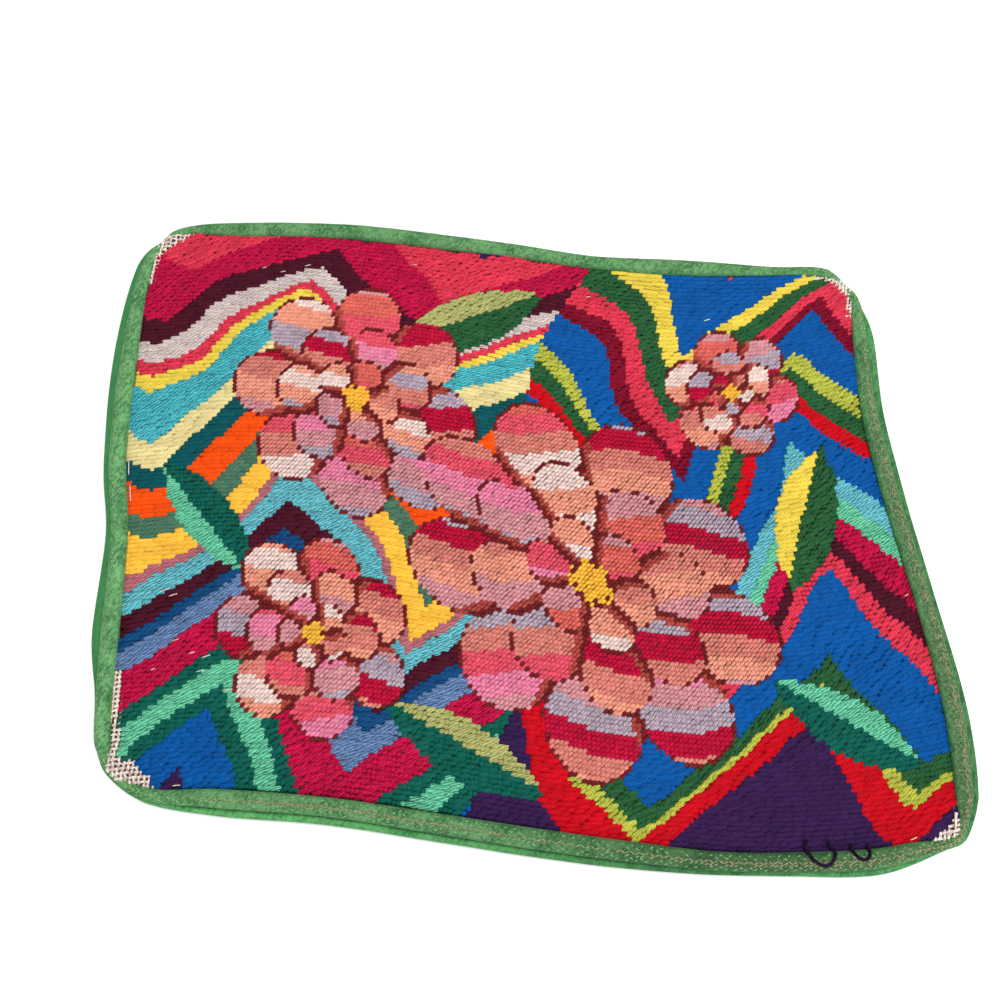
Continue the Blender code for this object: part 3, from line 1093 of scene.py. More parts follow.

# How much each unevenness changes the colour, the darkest that it gets, and the shade down in a hole
# The ridge and hair shares paint highlight on the plies' ridges and hairs and shade in the grooves
BRIGHT, PAINTED_RIDGE_LIGHT, PAINTED_HAIR_LIGHT, TINT_SHARE, DYE_SHARE = 0.96, 0.62, 0.9, 0.2, 0.35
DARKEST, HOLE_SHADE, HOLE_REACH = 0.12, 0.42, (0.08, 0.66)
HAIR_RELIEF = 0.8


def wool(name, colour, plies=PLIES, depth=0.00022, coarse=1.0):
    """A yarn's finish in one colour. A coarse yarn shows its strands and painted light and shade more."""
    material, shader, dye = new_material(name)
    around = dye.node("SeparateXYZ", values={0: dye.node("UVMap", {"uv_map": "yarn"})}, out="X")
    along = around.sibling("Y")
    tint, crown = attribute(dye, "tint"), attribute(dye, "crown")
    hair_place = {"X": around * HAIRS_ROUND, "Y": along * HAIRS_ALONG, "Z": tint * HAIRS_APART}
    hairs = cloudy(dye, dye.node("CombineXYZ", values=hair_place), 1.0, 3.0, roughness=0.7)
    place = dye.node("TexCoord", out="Object")
    uneven, wander = cloudy(dye, place, 60.0, 3.0), cloudy(dye, place, 350.0, 1.0)
    turns = around * plies - along * TWIST + WANDER * wander
    ridge = (0.5 + 0.5 * (turns * 2 * math.pi).maths("SINE")) ** RIDGE_POWER
    # Painted highlight and shade: lighter on the ridges and hairs, darker in the grooves between the plies
    strands = PAINTED_RIDGE_LIGHT * (ridge - MEAN_RIDGE) + PAINTED_HAIR_LIGHT * (hairs - 0.5)
    bright = BRIGHT + TINT_SHARE * (tint - 0.5) + DYE_SHARE * (uneven - 0.5) + coarse * strands
    # Painted shade: the yarn is darker where it dives into its hole
    in_hole = 1 - crown.step(*HOLE_REACH)
    bright = bright.maths("MAXIMUM", DARKEST) * (1 - HOLE_SHADE * coarse * in_hole)
    height = ridge + HAIR_RELIEF * hairs
    relief = dye.node("Bump", values={"Strength": 0.9, "Distance": depth, "Height": height})
    fuzz = linear(*(min(255, 0.5 * value + 128) for value in colour))
    plug(shader, Base_Color=bright.shade(linear(*colour)[:3]), Roughness=0.6, Normal=relief)
    plug(shader, Sheen_Weight=0.01, Sheen_Roughness=0.4, Sheen_Tint=fuzz, Specular_IOR_Level=0.07)
    return material


finishes = {name: wool(f"{name} wool", colour, coarse=coarseness(name)) for name, colour in YARNS.items()}
print(f"{len(finishes)} wools")

# %% Stitching every yarn
# By the threads that a stitch goes over: its half width in rows, its half thickness, and the least and the
# spread of its overlap at each end in threads
CROWDING = {1: 0.63, 2: 0.72, 3: 0.78, 4: 0.78, 5: 0.78}
HALF_THICK = {1: 0.00088, 2: 0.00078, 3: 0.00072, 4: 0.00072, 5: 0.00072}
OVERLAP = {1: (0.03, 0.1), 2: (0.06, 0.24), 3: (0.08, 0.34), 4: (0.08, 0.4), 5: (0.08, 0.4)}
FULL_CROWDING = 0.86
LIFT = 0.00095
JUST_INSIDE = 0.001


def net_points(columns, rows):
    """Points of the net for columns and rows that may lie between two holes."""
    columns = np.clip(columns + MARGIN, 0, COLUMNS + 2 * MARGIN - JUST_INSIDE)
    rows = np.clip(rows + MARGIN, 0, ROWS + 2 * MARGIN - JUST_INSIDE)
    left, above = np.floor(columns).astype(int), np.floor(rows).astype(int)
    across, down = (columns - left)[:, None], (rows - above)[:, None]
    upper, lower = (
        hole_spots[above + step, left] * (1 - across) + hole_spots[above + step, left + 1] * across
        for step in (0, 1)
    )
    return upper * (1 - down) + lower * down


def stitch_copies(places, run, crowding):
    """One copy for each stitch, wide enough to meet those of the next row, and a little over-long, because
    the ends of two stitches share a hole."""
    columns, rows, last_columns, last_rows = np.array(places, float).T
    least, spread = OVERLAP[run]
    columns = columns - least - spread * random.random(len(columns))
    last_columns = last_columns + least + spread * random.random(len(columns))
    starts, ends = net_points(columns, rows), net_points(last_columns, last_rows)
    ways = ends - starts
    row_gap = THREAD_PITCH * ways[:, :1] / np.linalg.norm(ways, axis=1, keepdims=True)
    return copies(run_shapes[run], starts, ends, crowding * row_gap, HALF_THICK[run], LIFT)


for yarn in YARNS:
    batches = [
        stitch_copies(stitches[yarn, run], run, FULL_CROWDING if yarn in FULL_YARNS else CROWDING[run])
        for run in run_shapes
        if (yarn, run) in stitches
    ]
    if batches:
        mesh = sewn_mesh(f"stitches_{yarn}", batches)
        add_piece(f"stitches_{yarn}", mesh, finishes[yarn])

# %% [markdown]
# ## The canvas
# Under the wool lies the canvas. As cloth it is one thin sheet, sewn along the seam all round, that lies
# on the back. The real canvas is white, but the sheet is painted dark, as painted shade for the deep gaps
# where hardly any light gets down to it. Where nothing is stitched its threads are modelled one crossing
# at a time, over and under, with a hole between them, because there they can be counted.

# %% The canvas as a sheet
ROWS_ALONG_WIDTH, ROWS_ALONG_DEPTH = 12, 8
CLOTH_THICK = 0.0008
CLOTH_DROP = 0.0021
CLOTH_GRID = (72, 52)
# Painted shade: the white canvas is coloured dark, as it looks deep between the stitches
CLOTH_PAINTED_SHADE = ((0.03, 0.024, 0.02, 1), (0.075, 0.06, 0.05, 1))


def canvas_spot(u, v):
    """A point of the sheet, laid between the four stretches of the seam."""
    total = len(edges)
    wide, deep = ROWS_ALONG_WIDTH * STATIONS_PER_ROW, ROWS_ALONG_DEPTH * STATIONS_PER_ROW

    def at(index):
        """The point of the seam at a station, or between two."""
        low = math.floor(index)
        first, second = (edges[(low + step) % total].beyond(-GAP, 0.0) for step in (0, 1))
        return first.lerp(second, index - low)

    down = 1 - v
    far, near = at(u * wide), at(2 * wide + deep - u * wide)
    right, left = at(wide + down * deep), at(2 * wide + 2 * deep - down * deep)
    top, low = at(0).lerp(at(wide), u), at(2 * wide + deep).lerp(at(wide + deep), u)
    spot = far.lerp(near, down) + left.lerp(right, u) - top.lerp(low, down)
    spot.z = canvas_top(spot.x, spot.y) - CLOTH_DROP
    return spot


def canvas_shade_finish():
    """The threads down between the stitches, painted dark as the shade there."""
    material, shader, dye = new_material("canvas ground")
    fleck = cloudy(dye, dye.node("TexCoord", out="Object"), 900.0, 2.0)
    relief = dye.node("Bump", values={"Strength": 0.5, "Distance": 0.0003, "Height": fleck})
    plug(shader, Base_Color=fleck.mix(*CLOTH_PAINTED_SHADE), Roughness=0.95, Normal=relief)
    return material


canvas_mesh = grid_solid(*CLOTH_GRID, canvas_spot, CLOTH_THICK, "canvas_ground")
canvas = add_piece("canvas_ground", canvas_mesh, canvas_shade_finish())
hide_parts("needlepoint_canvas")
canvas_area = sum(face.area for face in canvas_mesh.polygons) / 2
print(f"the canvas covers {canvas_area:.4f} square metres")

# %% Where a thread of the canvas lies
THREAD_DROP = 0.0012
SEAM_ON_ROLL = 0.0012
ON_ROLL = 0.0003
piping_tree = solid_tree("velvet_piping")


def net_spot(column, row, drop=THREAD_DROP):
    """The point of the net at a place that may lie between holes. Round a corner the seam runs along the top
    of the piping, so the canvas lies on it there."""
    spot = net_place(column / COLUMNS, row / ROWS).reshape(2)
    height = canvas_top(*spot) - drop
    nearest = edges[int(((seam_line - spot) ** 2).sum(1).argmin())]
    if nearest.out < SEAM_ON_ROLL:
        met = under_ray(piping_tree, *spot)
        height = max(height, met.z + ON_ROLL) if met else height
    return np.array([*spot, height])


print("a thread in the far left corner is at", net_spot(2, 2).round(4))

# %% Bare threads
THREAD_SIZE = (0.00078, 0.0004)
THREAD_LIFTS = {"over": 0.00018, "under": -0.00012}
THREAD_SIDES = 6
THREAD_RINGS = ((-0.06, 0.0, 0.9), (0.2, 0.1, 1.0), (0.5, 0.5, 1.04), (0.8, 0.1, 1.0), (1.06, 0.0, 0.9))
CELL_CORNERS = (-0.1, 1.1)
EDGE_ROOM = -0.0022
bare_cells = [
    (column, row)
    for row in work_rows
    for column in work_columns
    if any(is_bare(column + across, row + down) for across in CELL_CORNERS for down in CELL_CORNERS)
]


def laid_threads(pairs, size, lift):
    """Copies of a thread between pairs of points of the net."""
    starts, ends = (np.array([pair[end] for pair in pairs]) for end in (0, 1))
    return copies(thread_shape, starts, ends, *size, lift)


thread_shape = Shape(THREAD_SIDES, THREAD_RINGS)
thread_ends = {"over": [], "under": []}
for column, row in bare_cells:
    weft, warp = ("over", "under") if (column + row) % 2 else ("under", "over")
    runs = (
        ((column, row + 0.5), (column + 1, row + 0.5), weft),
        ((column + 0.5, row), (column + 0.5, row + 1), warp),
    )
    for start, end, way in runs:
        spots = net_spot(*start), net_spot(*end)
        if min(depth_inside([spot[:2] for spot in spots])) > EDGE_ROOM:
            thread_ends[way].append(spots)
batches = [laid_threads(thread_ends[way], THREAD_SIZE, lift) for way, lift in THREAD_LIFTS.items()]
print(f"{sum(map(len, thread_ends.values()))} lengths of bare thread")

# %% [markdown]
# In a few places the wool doesn't quite cover the canvas, and a white thread glints between two rows. Each
# is a short thread laid just under the tops of the stitches.

# %% Glints of canvas between the rows
GLINTS = (
    # column, row, how far right and how far down it goes, in threads
    (29, 9.5, 0.9, -0.3), (34, 10.5, 1.1, -0.3), (38, 12.5, 0.9, -0.2), (40, 8.5, 1.3, -0.4),
    (43, 9.5, 1.0, -0.3), (8, 91.5, 1.9, -0.5), (10, 92.5, 1.6, -0.4), (11, 102.5, 1.4, -0.4),
    (15, 105.5, 1.1, -0.3), (18, 106.5, 1.6, -0.5), (17, 109.5, 1.4, -0.4), (23, 113.5, 1.9, -0.3),
    (7, 108.5, 0.8, -0.2), (172, 132.5, 1.2, -0.3), (15, 132.5, 1.4, -0.1), (144, 11.5, 1.3, -0.4),
    (113, 7.5, 1.0, -0.3), (180, 83.5, 0.8, -0.2), (67, 5.5, 1.6, -0.4), (0, 60.2, 0.1, 3.0),
    (0.5, 66.2, 0.3, 3.6),
)  # fmt: skip
GLINT_SIZE, GLINT_DROP = (0.00028, 0.00024), 0.0003
OFF_WHITE = (220, 202, 190)
glint_ends = [
    (net_spot(column, row, GLINT_DROP), net_spot(column + right, row + down, GLINT_DROP))
    for column, row, right, down in GLINTS
]
batches.append(laid_threads(glint_ends, GLINT_SIZE, 0.0))
thread_finish = wool("canvas thread", OFF_WHITE, plies=2.0, depth=0.00006)
thread_mesh = sewn_mesh("bare_canvas_threads", batches)
bare = add_piece("bare_canvas_threads", thread_mesh, thread_finish)
print(f"{len(GLINTS)} glints of canvas")

# %% [markdown]
# ## Velvet
# Velvet is a short dense pile: dark when seen straight into it, pale along its turned edges. Sheen gives
# that. The pile also lies this way and that, which shows as soft lighter and darker patches, and crushed
# tufts of it as fine specks.

# %% The velvet's material
PILE_DARK, PILE_MID, PILE_SHEEN = (44, 92, 54), (100, 150, 97), (140, 186, 134)
BACK_DARK, BACK_MID = (50, 114, 64), (98, 168, 100)
PILE_WAY, PILE_STREAK = math.radians(57.0), 2.6
PATCH_SHARE, TUFT_SHARE, PILE_LEAN = 0.4, 0.6, (0.37, 0.62)
LEFT_RIM_SHADE_SHARE, BACK_TUFT_RELIEF = 0.8, 0.15


def velvet_base(dye, place, dark, mid, patch_scale=70.0):
    """Colour and height of plain velvet pile at a place."""
    patches = cloudy(dye, place, patch_scale, 4.0, roughness=0.65)
    streaks = {"Vector": place, "Rotation": (0.0, 0.0, PILE_WAY), "Scale": (PILE_STREAK, 1.0, 1.0)}
    streaked = dye.node("Mapping", {"vector_type": "TEXTURE"}, streaks)
    tufts = cloudy(dye, streaked, 700.0, 3.0, roughness=0.75)
    lean = (PATCH_SHARE * patches + TUFT_SHARE * tufts).step(*PILE_LEAN)
    return lean.mix(linear(*dark), linear(*mid)), tufts, patches


def plug_velvet(dye, shader, colour, height, depth):
    """The colour by the piece's own tone, the relief and the sheen of velvet."""
    tone = attribute(dye, "tone")
    relief = dye.node("Bump", values={"Strength": 0.8, "Distance": depth, "Height": height})
    plug(shader, Base_Color=tone.shade(colour), Roughness=0.8, Normal=relief, Specular_IOR_Level=0.15)
    plug(shader, Sheen_Weight=0.3, Sheen_Roughness=0.35, Sheen_Tint=linear(*PILE_SHEEN))


def back_velvet():
    """The back's plain velvet, with painted shade on the rim where it faces left."""
    material, shader, dye = new_material("back velvet")
    place = dye.node("TexCoord", out="Object")
    colour, pile, patches = velvet_base(dye, place, BACK_DARK, BACK_MID, patch_scale=110.0)
    # Painted shade on the left-facing rim, mixed towards the dark pile colour
    colour = (LEFT_RIM_SHADE_SHARE * attribute(dye, "left_rim_shade")).mix(colour, linear(*BACK_DARK))
    plug_velvet(dye, shader, colour, patches + BACK_TUFT_RELIEF * pile, 0.0012)
    return material


back_finish = back_velvet()
print("velvet mixed")

# %% [markdown]
# ## The piping
# A fat cord covered with a strip of velvet. It is a grid rolled round the line of the roll's middle. How
# worn it is goes into an attribute of the grid: hardly at all on the far side, along the crest on the near
# side, where it was handled most, and all over on the right, where even the outer flank has gone grey.

# %% Where the piping is worn
WEAR = (
    # row of the seam's table, how worn from 0 to 1, how far round that goes from the crest in turns
    (0, 0.25, 0.04), (3, 0.15, 0.05), (7, 0.2, 0.05), (8.4, 0.5, 0.04), (9.4, 0.3, 0.05),
    (11, 0.25, 0.05), (13, 0.3, 0.06), (14.6, 0.7, 0.1), (15.6, 1.0, 0.14), (19, 1.0, 0.15),
    (20.5, 0.75, 0.13), (22, 0.85, 0.1), (24.6, 0.95, 0.08), (25.4, 0.8, 0.05), (26.6, 0.7, 0.038),
    (27.7, 0.85, 0.038), (28.6, 0.95, 0.04), (29.3, 1.0, 0.04), (30.2, 0.6, 0.04), (31, 0.45, 0.04),
    (32, 0.2, 0.05), (34, 0.3, 0.05), (35.2, 0.45, 0.06), (36.3, 0.25, 0.05), (37.6, 0.45, 0.06),
    (38.4, 0.45, 0.06), (39, 0.25, 0.05), (40, 0.25, 0.04),
)  # fmt: skip
WEAR_CREST, WEAR_FADE = 0.505, 1.7
INWARD_REACH = 0.78
NEAR_MIDDLE = 29.3


def seam_row(u):
    """The row of the seam's table at a share along the seam, with a part of a row."""
    return u * len(SEAM) % len(SEAM)


def wear_at(u, v):
    """How worn the velvet is at shares 0 to 1 along the seam and round the roll."""
    rows, shares, reaches = zip(*WEAR)
    share, reach = float(np.interp(seam_row(u), rows, shares)), float(np.interp(seam_row(u), rows, reaches))
    away = (v - WEAR_CREST) / reach if v > WEAR_CREST else (WEAR_CREST - v) / (INWARD_REACH * reach)
    return share * min(1.0, max(0.0, WEAR_FADE - away))


print("wear on the near crest:", wear_at(NEAR_MIDDLE / len(SEAM), WEAR_CREST))

# %% How light the piping is along the seam
PIPING_TONE = (
    # row, how light the piping is: darker on the right and the near side, lighter on the left
    (0, 0.95), (10, 0.95), (13, 0.85), (16, 0.75), (19, 0.7), (20.5, 0.75), (22, 0.66), (24, 0.54),
    (25.3, 0.44), (26.3, 0.52), (27.3, 0.83), (29, 0.92), (31, 1.0), (33, 1.15), (37, 1.2), (38.5, 1.05),
    (40, 0.95),
)  # fmt: skip
INNER_TONE = (
    # row, how light the piping's inner flank is, next to the canvas: mostly lifted, as painted light against
    # the shade by the seam
    (0, 1.15), (12, 1.15), (14, 1.08), (19.5, 1.0), (21, 0.75), (24, 0.5), (26.5, 0.66), (28, 1.0),
    (31, 1.15), (34, 1.2), (38, 1.3), (40, 1.15),
)  # fmt: skip
RIM_TONE = (
    # row, how light the back's rim is
    (0, 0.9), (12, 0.9), (13.6, 0.7), (15.5, 0.5), (19, 0.5), (20.2, 0.75), (21, 0.85), (24, 0.8),
    (25, 0.55), (26.5, 0.6), (27.6, 0.85), (29.5, 1.0), (38, 1.0), (40, 0.9),
)  # fmt: skip
INNER_FLANK = (0.37, 0.43)
CREASED = ((8.2, 10.2), (32.6, 34.4))


def tone_at(tones, u):
    """How light the velvet is at a share along the seam, from a table of tones."""
    return float(np.interp(seam_row(u), *zip(*tones)))


def piping_tone(u, v):
    """How light the piping is: its inner flank follows its own table, mostly lighter as painted light."""
    return float(np.interp(v, INNER_FLANK, (tone_at(INNER_TONE, u), tone_at(PIPING_TONE, u))))


def crease_at(u, v):
    """Where the velvet was cut on the slant and pulls into creases."""
    return float(any(first < seam_row(u) < last for first, last in CREASED))


print("tone of the near crest:", round(piping_tone(NEAR_MIDDLE / len(SEAM), WEAR_CREST), 2))

# %% The piping's shape
PIPING_AROUND = 28
LUMPS, LUMPS_ALONG, LUMPS_ROUND = 0.02, 260, 2


def roll_at(u):
    """The roll's middle, its outward way and its radius at a share along the seam."""
    index = u * len(edges)
    low = math.floor(index)
    first, second = edges[low % len(edges)], edges[(low + 1) % len(edges)]
    share = index - low
    out, radius = (a + (b - a) * share for a, b in ((first.out, second.out), (first.radius, second.radius)))
    out_way = first.out_way.lerp(second.out_way, share)
    centre = first.seam.lerp(second.seam, share) + out_way * out
    centre.z = BACK_THICK + GAP + radius
    return centre, out_way, radius


def piping_spot(u, v):
    """A point of the piping, for shares 0 to 1 along it and round it from its underside."""
    centre, out_way, radius = roll_at(u)
    turn = 2 * math.pi * v
    lump = Vector((u * LUMPS_ALONG, LUMPS_ROUND * math.cos(turn), LUMPS_ROUND * math.sin(turn)))
    reach = radius * (1 + LUMPS * noise.noise(lump))
    return centre - out_way * reach * math.sin(turn) - Vector((0.0, 0.0, reach * math.cos(turn)))


marks = {"worn": wear_at, "crease": crease_at, "tone": piping_tone}
work = bent_grid(len(edges), PIPING_AROUND, piping_spot, merge=SAME_POINT, marks=marks)
piping_mesh = to_mesh(work, "velvet_piping_cover")
print(f"{len(piping_mesh.polygons)} faces in the piping")

# %% [markdown]
# The velvet keeps its pile where it isn't worn. Where it is, the ground shows, a dull tan green with specks
# of pale thread, and painted shade in the holes between them.

# %% The piping's velvet
WORN_GROUND, WORN_THREAD, WORN_HOLE_SHADE = (86, 116, 78), (146, 162, 120), (44, 78, 44)
GROUND_SHARE, THREAD_SHARE, WORN_SHADE_SHARE = 0.75, 0.6, 0.65
RUB, RUB_EDGE = 1.2, (0.3, 0.95)
THREAD_SPECKS, WORN_SHADE_SPECKS = (0.56, 0.66), (0.38, 0.47)
FOLDS_ACROSS, FOLDS_DEEP, FOLD_WANDER = 900.0, 760.0, 9
PILE_RELIEF, SPECK_RELIEF, FOLD_RELIEF = 0.4, 0.5, 0.5


def piping_velvet():
    """Velvet, worn to its ground by the attribute worn, and creased by the attribute crease."""
    material, shader, dye = new_material("piping velvet")
    place = dye.node("TexCoord", out="Object")
    worn, creased = attribute(dye, "worn"), attribute(dye, "crease")
    colour, pile, patches = velvet_base(dye, place, PILE_DARK, PILE_MID)
    rubbed, specks = cloudy(dye, place, 330.0, 3.0, roughness=0.7), cloudy(dye, place, 900.0, 1.0)
    bared = (worn + RUB * (rubbed - 0.5)).step(*RUB_EDGE)
    colour = (GROUND_SHARE * bared).mix(colour, linear(*WORN_GROUND))
    colour = (THREAD_SHARE * worn * specks.step(*THREAD_SPECKS)).mix(colour, linear(*WORN_THREAD))
    # Painted shade: dark specks for the holes between the ground's threads
    colour = (WORN_SHADE_SHARE * worn * (1 - specks.step(*WORN_SHADE_SPECKS))).mix(colour, linear(*WORN_HOLE_SHADE))
    across = dye.node("SeparateXYZ", values={0: place}, out="X")
    slant = across * FOLDS_ACROSS + across.sibling("Y") * FOLDS_DEEP + FOLD_WANDER * patches
    folds = creased * slant.maths("SINE")
    height = PILE_RELIEF * pile + SPECK_RELIEF * worn * specks + FOLD_RELIEF * folds
    plug_velvet(dye, shader, colour, height, 0.0007)
    return material


piping = add_piece("velvet_piping_cover", piping_mesh, piping_velvet())
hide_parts("velvet_piping")
print("piping covered")

# %% [markdown]
# The strip was woven with a zigzag of pale threads and slanting tufts beside it. They stand out most where
# the pile is worn. Each is a short thread on the roll, made from the same kind of copies as the stitches,
# but with its own way up, square to the round of the roll.

# %% A place on the roll
WEAVE_PROUD = 0.00006
roll_line = [roll_at(index / len(edges))[0] for index in range(len(edges) + 1)]
roll_run = np.cumsum([0.0, *((b - a).length for a, b in zip(roll_line, roll_line[1:]))])


def on_roll(metres, v):
    """A point on the roll and the way up from it, for metres along it and shares of a turn round it."""
    u = float(np.interp(metres % roll_run[-1], roll_run, np.arange(len(edges) + 1))) / len(edges)
    centre, out_way, radius = roll_at(u)
    turn = 2 * math.pi * v
    up = -math.sin(turn) * out_way - Vector((0.0, 0.0, math.cos(turn)))
    return centre + up * (radius + WEAVE_PROUD), up, u


print(f"the roll is {roll_run[-1]:.3f} m long")

# %% Threads of the piping's weave
WEAVE_STEP, WEAVE_SLIP = 0.0026, 0.15
TUFT_SIZE = (0.00036, 0.00024)
TUFT_RINGS = ((0.0, -0.7, 0.45), (0.25, 0.0, 0.95), (0.75, 0.0, 0.95), (1.0, -0.7, 0.45))
WEAVE = (
    # turns round the roll of the inner and the outer end, how far along each goes in steps, how often it
    # shows on the far, the right, the near and the left side
    (0.365, 0.400, -0.30, 0.30, (0.4, 0.5, 1.4, 0.5)),
    (0.420, 0.452, 0.35, -0.35, (0.1, 0.3, 1.1, 0.2)),
    (0.482, 0.522, 0.45, -0.45, (0.45, 0.7, 1.0, 0.6)),
    (0.530, 0.562, -0.40, 0.40, (0.0, 0.6, 0.6, 0.55)),
    (0.575, 0.604, 0.35, -0.35, (0.0, 0.3, 1.1, 0.3)),
    (0.618, 0.650, -0.35, 0.35, (0.0, 0.5, 1.5, 0.6)),
)
TUFT_ROWS = (0, 1, 4, 5)
ZIGZAG_ROW = 2
SIDE_ENDS = (12, 20, 32)
SHOWS_PLAIN, SHOWS_WORN = 0.6, 0.4
weave = {"start": [], "end": [], "up": [], "worn": []}
for number in range(int(roll_run[-1] / WEAVE_STEP)):
    for line, (inner, outer, inner_slip, outer_slip, shows) in enumerate(WEAVE):
        metres = (number + WEAVE_SLIP * (chance(number, line) - 0.5)) * WEAVE_STEP
        _, up, u = on_roll(metres, 0.5 * (inner + outer))
        worn = wear_at(u, 0.5 * (inner + outer))
        often = shows[int(np.searchsorted(SIDE_ENDS, seam_row(u), side="right"))]
        skipped = line in TUFT_ROWS and (number + line) % 2
        if skipped or chance(number, line, 5) > often * (SHOWS_PLAIN + SHOWS_WORN * worn):
            continue
        if line == ZIGZAG_ROW and number % 2:
            inner_slip, outer_slip = outer_slip, inner_slip
        weave["start"].append(on_roll(metres + inner_slip * WEAVE_STEP, inner)[0])
        weave["end"].append(on_roll(metres + outer_slip * WEAVE_STEP, outer)[0])
        weave["up"].append(up)
        weave["worn"].append(worn)
weave = {name: np.array(values) for name, values in weave.items()}
tuft_shape = Shape(YARN_SIDES, TUFT_RINGS)
tufts = copies(tuft_shape, weave["start"], weave["end"], *TUFT_SIZE, 0.0, weave["up"], weave["worn"])
print(f"{len(weave['worn'])} threads in the weave")

# %% [markdown]
# Next to the left of the canvas the machine's own sewing shows, as a dotted line of tan thread.

# %% The sewing thread
SEWN_ROWS = (33.2, 38.6)
SEWN_STEP, SEWN_LENGTH = 0.0021, 0.0013
SEWN_SIZE, SEWN_LIFT = (0.00022, 0.00016), 0.0001
SEWN_TURN = 0.29
SEWN_WORN = 0.8
THREAD_FRESH, THREAD_BLEACHED, BLEACH = (112, 164, 104), (144, 130, 94), (0.45, 1.0)
sewn_run = np.interp(np.array(SEWN_ROWS) * STATIONS_PER_ROW, np.arange(len(edges) + 1), roll_run)
sewn_metres = np.arange(*sewn_run, SEWN_STEP)
sewn_at = [on_roll(metres, SEWN_TURN) for metres in sewn_metres]
sewn_starts, sewn_ups = (np.array([spot[part] for spot in sewn_at]) for part in (0, 1))
sewn_ends = np.array([on_roll(metres + SEWN_LENGTH, SEWN_TURN)[0] for metres in sewn_metres])
sewing = copies(tuft_shape, sewn_starts, sewn_ends, *SEWN_SIZE, SEWN_LIFT, sewn_ups, SEWN_WORN)


def weave_finish():
    """Pale green pile thread, bleached to tan where it is worn."""
    material, shader, dye = new_material("piping threads")
    worn, tint = attribute(dye, "worn"), attribute(dye, "tint")
    hairs = cloudy(dye, dye.node("TexCoord", out="Object"), 2400.0, 2.0)
    bleach = (worn + 0.5 * (tint - 0.5)).step(*BLEACH)
    colour = bleach.mix(linear(*THREAD_FRESH), linear(*THREAD_BLEACHED))
    bright = 0.6 + 0.4 * tint + 0.3 * hairs
    plug(shader, Base_Color=bright.shade(colour), Roughness=0.7, Sheen_Weight=0.1, Specular_IOR_Level=0.15)
    return material


weave_mesh = sewn_mesh("velvet_piping_weave", [tufts, sewing])
add_piece("velvet_piping_weave", weave_mesh, weave_finish())
print(f"{len(sewn_at)} stitches of sewing thread")

# %% [markdown]
# ## The back
# One piece of velvet, a little larger than the front, whose edge rolls up round the outside of the piping.
# The same section as the solid's is taken at every station and bridged from one to the next by a grid, and
# the flat middle is filled on both sides.

# %% The back's shape
FLANK_GAP = 0.0005
FLANK_TURN = math.radians(62.0)
FULL_REACH = 0.0045
RIM_TOP, RIM_TOP_AT = 0.0052, 0.4
RIM_SHOULDER_AT, RIM_SHOULDER_SHARE = 0.8, 0.6
RIM_WIDEST, RIM_WIDEST_SHARE = 0.0024, 0.7
RIM_UNDER_TIP = (0.0004, 0.0008)
RIM_UNDERCUT = 0.0016
ROWS_PER_SPAN = 3


def rim_section(edge):
    """The back's section at a station, from under the piping, over the rim and in below it."""
    swell = min(1.0, edge.rim / FULL_REACH)
    top = BACK_THICK + (RIM_TOP - BACK_THICK) * swell
    clear = edge.radius + FLANK_GAP

    def flank(turn):
        """A point close round the outside of the piping."""
        return edge.out + clear * math.sin(turn), max(BACK_THICK, edge.roll_height - clear * math.cos(turn))

    lip, lip_height = flank(FLANK_TURN * swell)
    tip = edge.out + edge.radius + edge.rim
    shoulder = RIM_WIDEST + (top - RIM_WIDEST) * RIM_SHOULDER_SHARE
    return (
        (edge.out - 0.5 * edge.radius, BACK_THICK),
        (edge.out, BACK_THICK),
        flank(0.5 * FLANK_TURN * swell),
        (lip, lip_height),
        (lip + (tip - lip) * RIM_TOP_AT, max(top, lip_height)),
        (lip + (tip - lip) * RIM_SHOULDER_AT, shoulder),
        (tip, min(RIM_WIDEST, RIM_WIDEST_SHARE * top)),
        (tip - RIM_UNDER_TIP[0], RIM_UNDER_TIP[1]),
        (tip - RIM_UNDERCUT, 0.0),
    )


SECTION_SPANS = len(rim_section(edges[0])) - 1


def edge_at(u):
    """The station at a share along the edge."""
    return edges[round(u * len(edges)) % len(edges)]


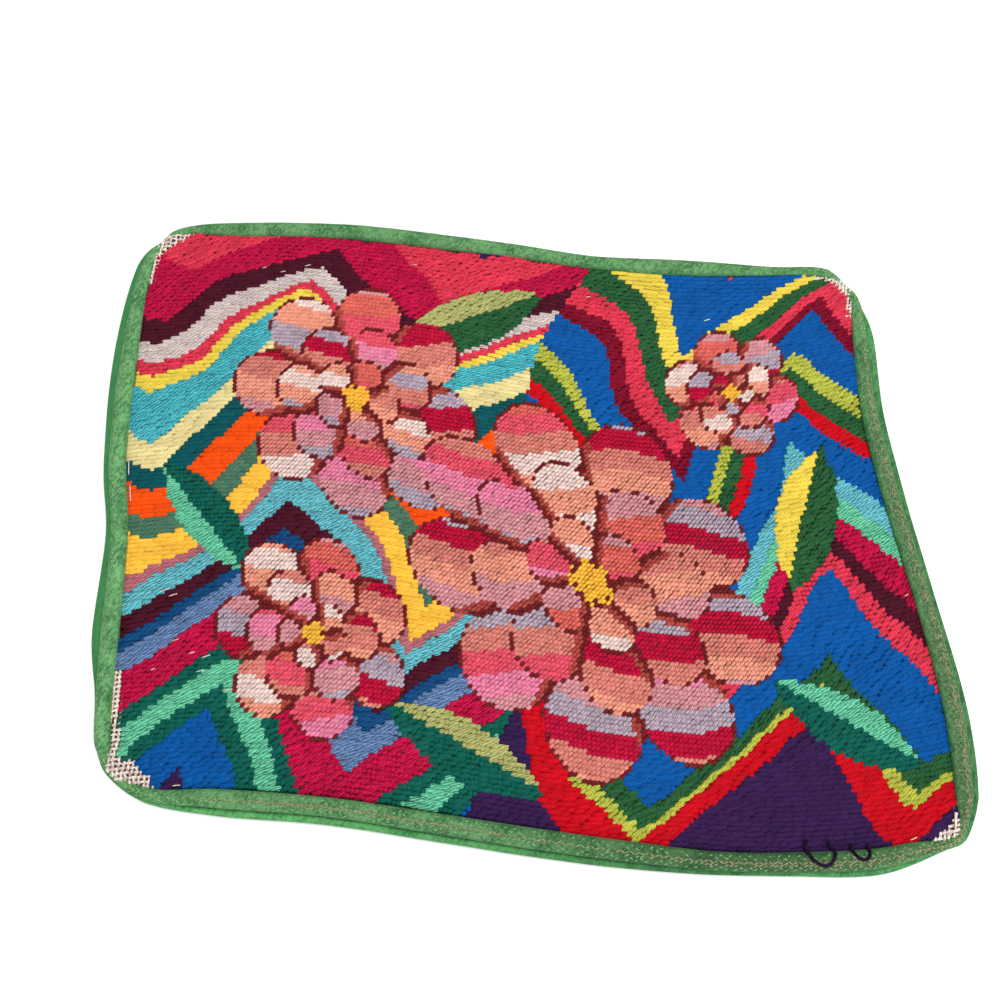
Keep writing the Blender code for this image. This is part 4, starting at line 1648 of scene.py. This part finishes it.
def rim_spot(u, v):
    """A point of the back's rim, for shares 0 to 1 along the edge and over the section."""
    edge = edge_at(u)
    index = v * SECTION_SPANS
    span = min(int(index), SECTION_SPANS - 1)
    section = rim_section(edge)
    four = [section[min(max(span + step, 0), SECTION_SPANS)] for step in (-1, 0, 1, 2)]
    distance, height = (catmull_rom(*values, index - span) for values in zip(*four))
    return edge.beyond(distance, max(height, 0.0))


def left_rim_shade_at(u, v):
    """How far the rim faces left, which sets how much painted shade it gets."""
    return max(0.0, -edge_at(u).out_way.x)


def rim_tone(u, v):
    """How light the rim is."""
    return tone_at(RIM_TONE, u)


marks = {"left_rim_shade": left_rim_shade_at, "tone": rim_tone}
work = bent_grid(len(edges), ROWS_PER_SPAN * SECTION_SPANS, rim_spot, merge=SAME_POINT, marks=marks)
bmesh.ops.holes_fill(work, edges=[edge for edge in work.edges if edge.is_boundary])
back_mesh = to_mesh(work, "velvet_back_cloth")
back = add_piece("velvet_back_cloth", back_mesh, back_finish)
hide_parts("velvet_back")
print(f"{len(back_mesh.polygons)} faces in the back")

# %% [markdown]
# ## The loops
# The loops get their finish now that the wools are mixed. The large one stands for the solid. The small one
# is a single snagged stitch of 21 mm, too short for a cord, so it goes with the canvas's other stitches.

# %% The loops' finish
LOOP_PURPLE = (40, 24, 56)
loop_finish = wool("loop wool", LOOP_PURPLE, plies=1.0)
small_loop = add_piece("small_wool_loop_plies", small_loop_mesh, loop_finish)
loop = add_piece("wool_loop_plies", loop_mesh, loop_finish)
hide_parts("wool_loop")
round(line_length(loop_line), 4)
print("loops laid")

# %% [markdown]
# ## The cloth's cut sizes
# The canvas and the back are sheets, and here the sizes that they were cut to are worked out. The piping
# is a stuffed roll.

# %% Cut sizes
SQUARE_ON = 0.7


def fuller(axis):
    """How far the back reaches past the seam, on average, on the two sides that look along an axis."""
    facing = [edge for edge in edges if abs(edge.out_way[axis]) > SQUARE_ON]
    return float(np.mean([edge.out + edge.radius + edge.rim for edge in facing]))


canvas_flat = (COLUMNS * THREAD_PITCH, ROWS * THREAD_PITCH)
back_flat = (canvas_flat[0] + 2 * fuller(0), canvas_flat[1] + 2 * fuller(1))
print("cut sizes in metres:", [round(side, 4) for side in (*canvas_flat, *back_flat)])
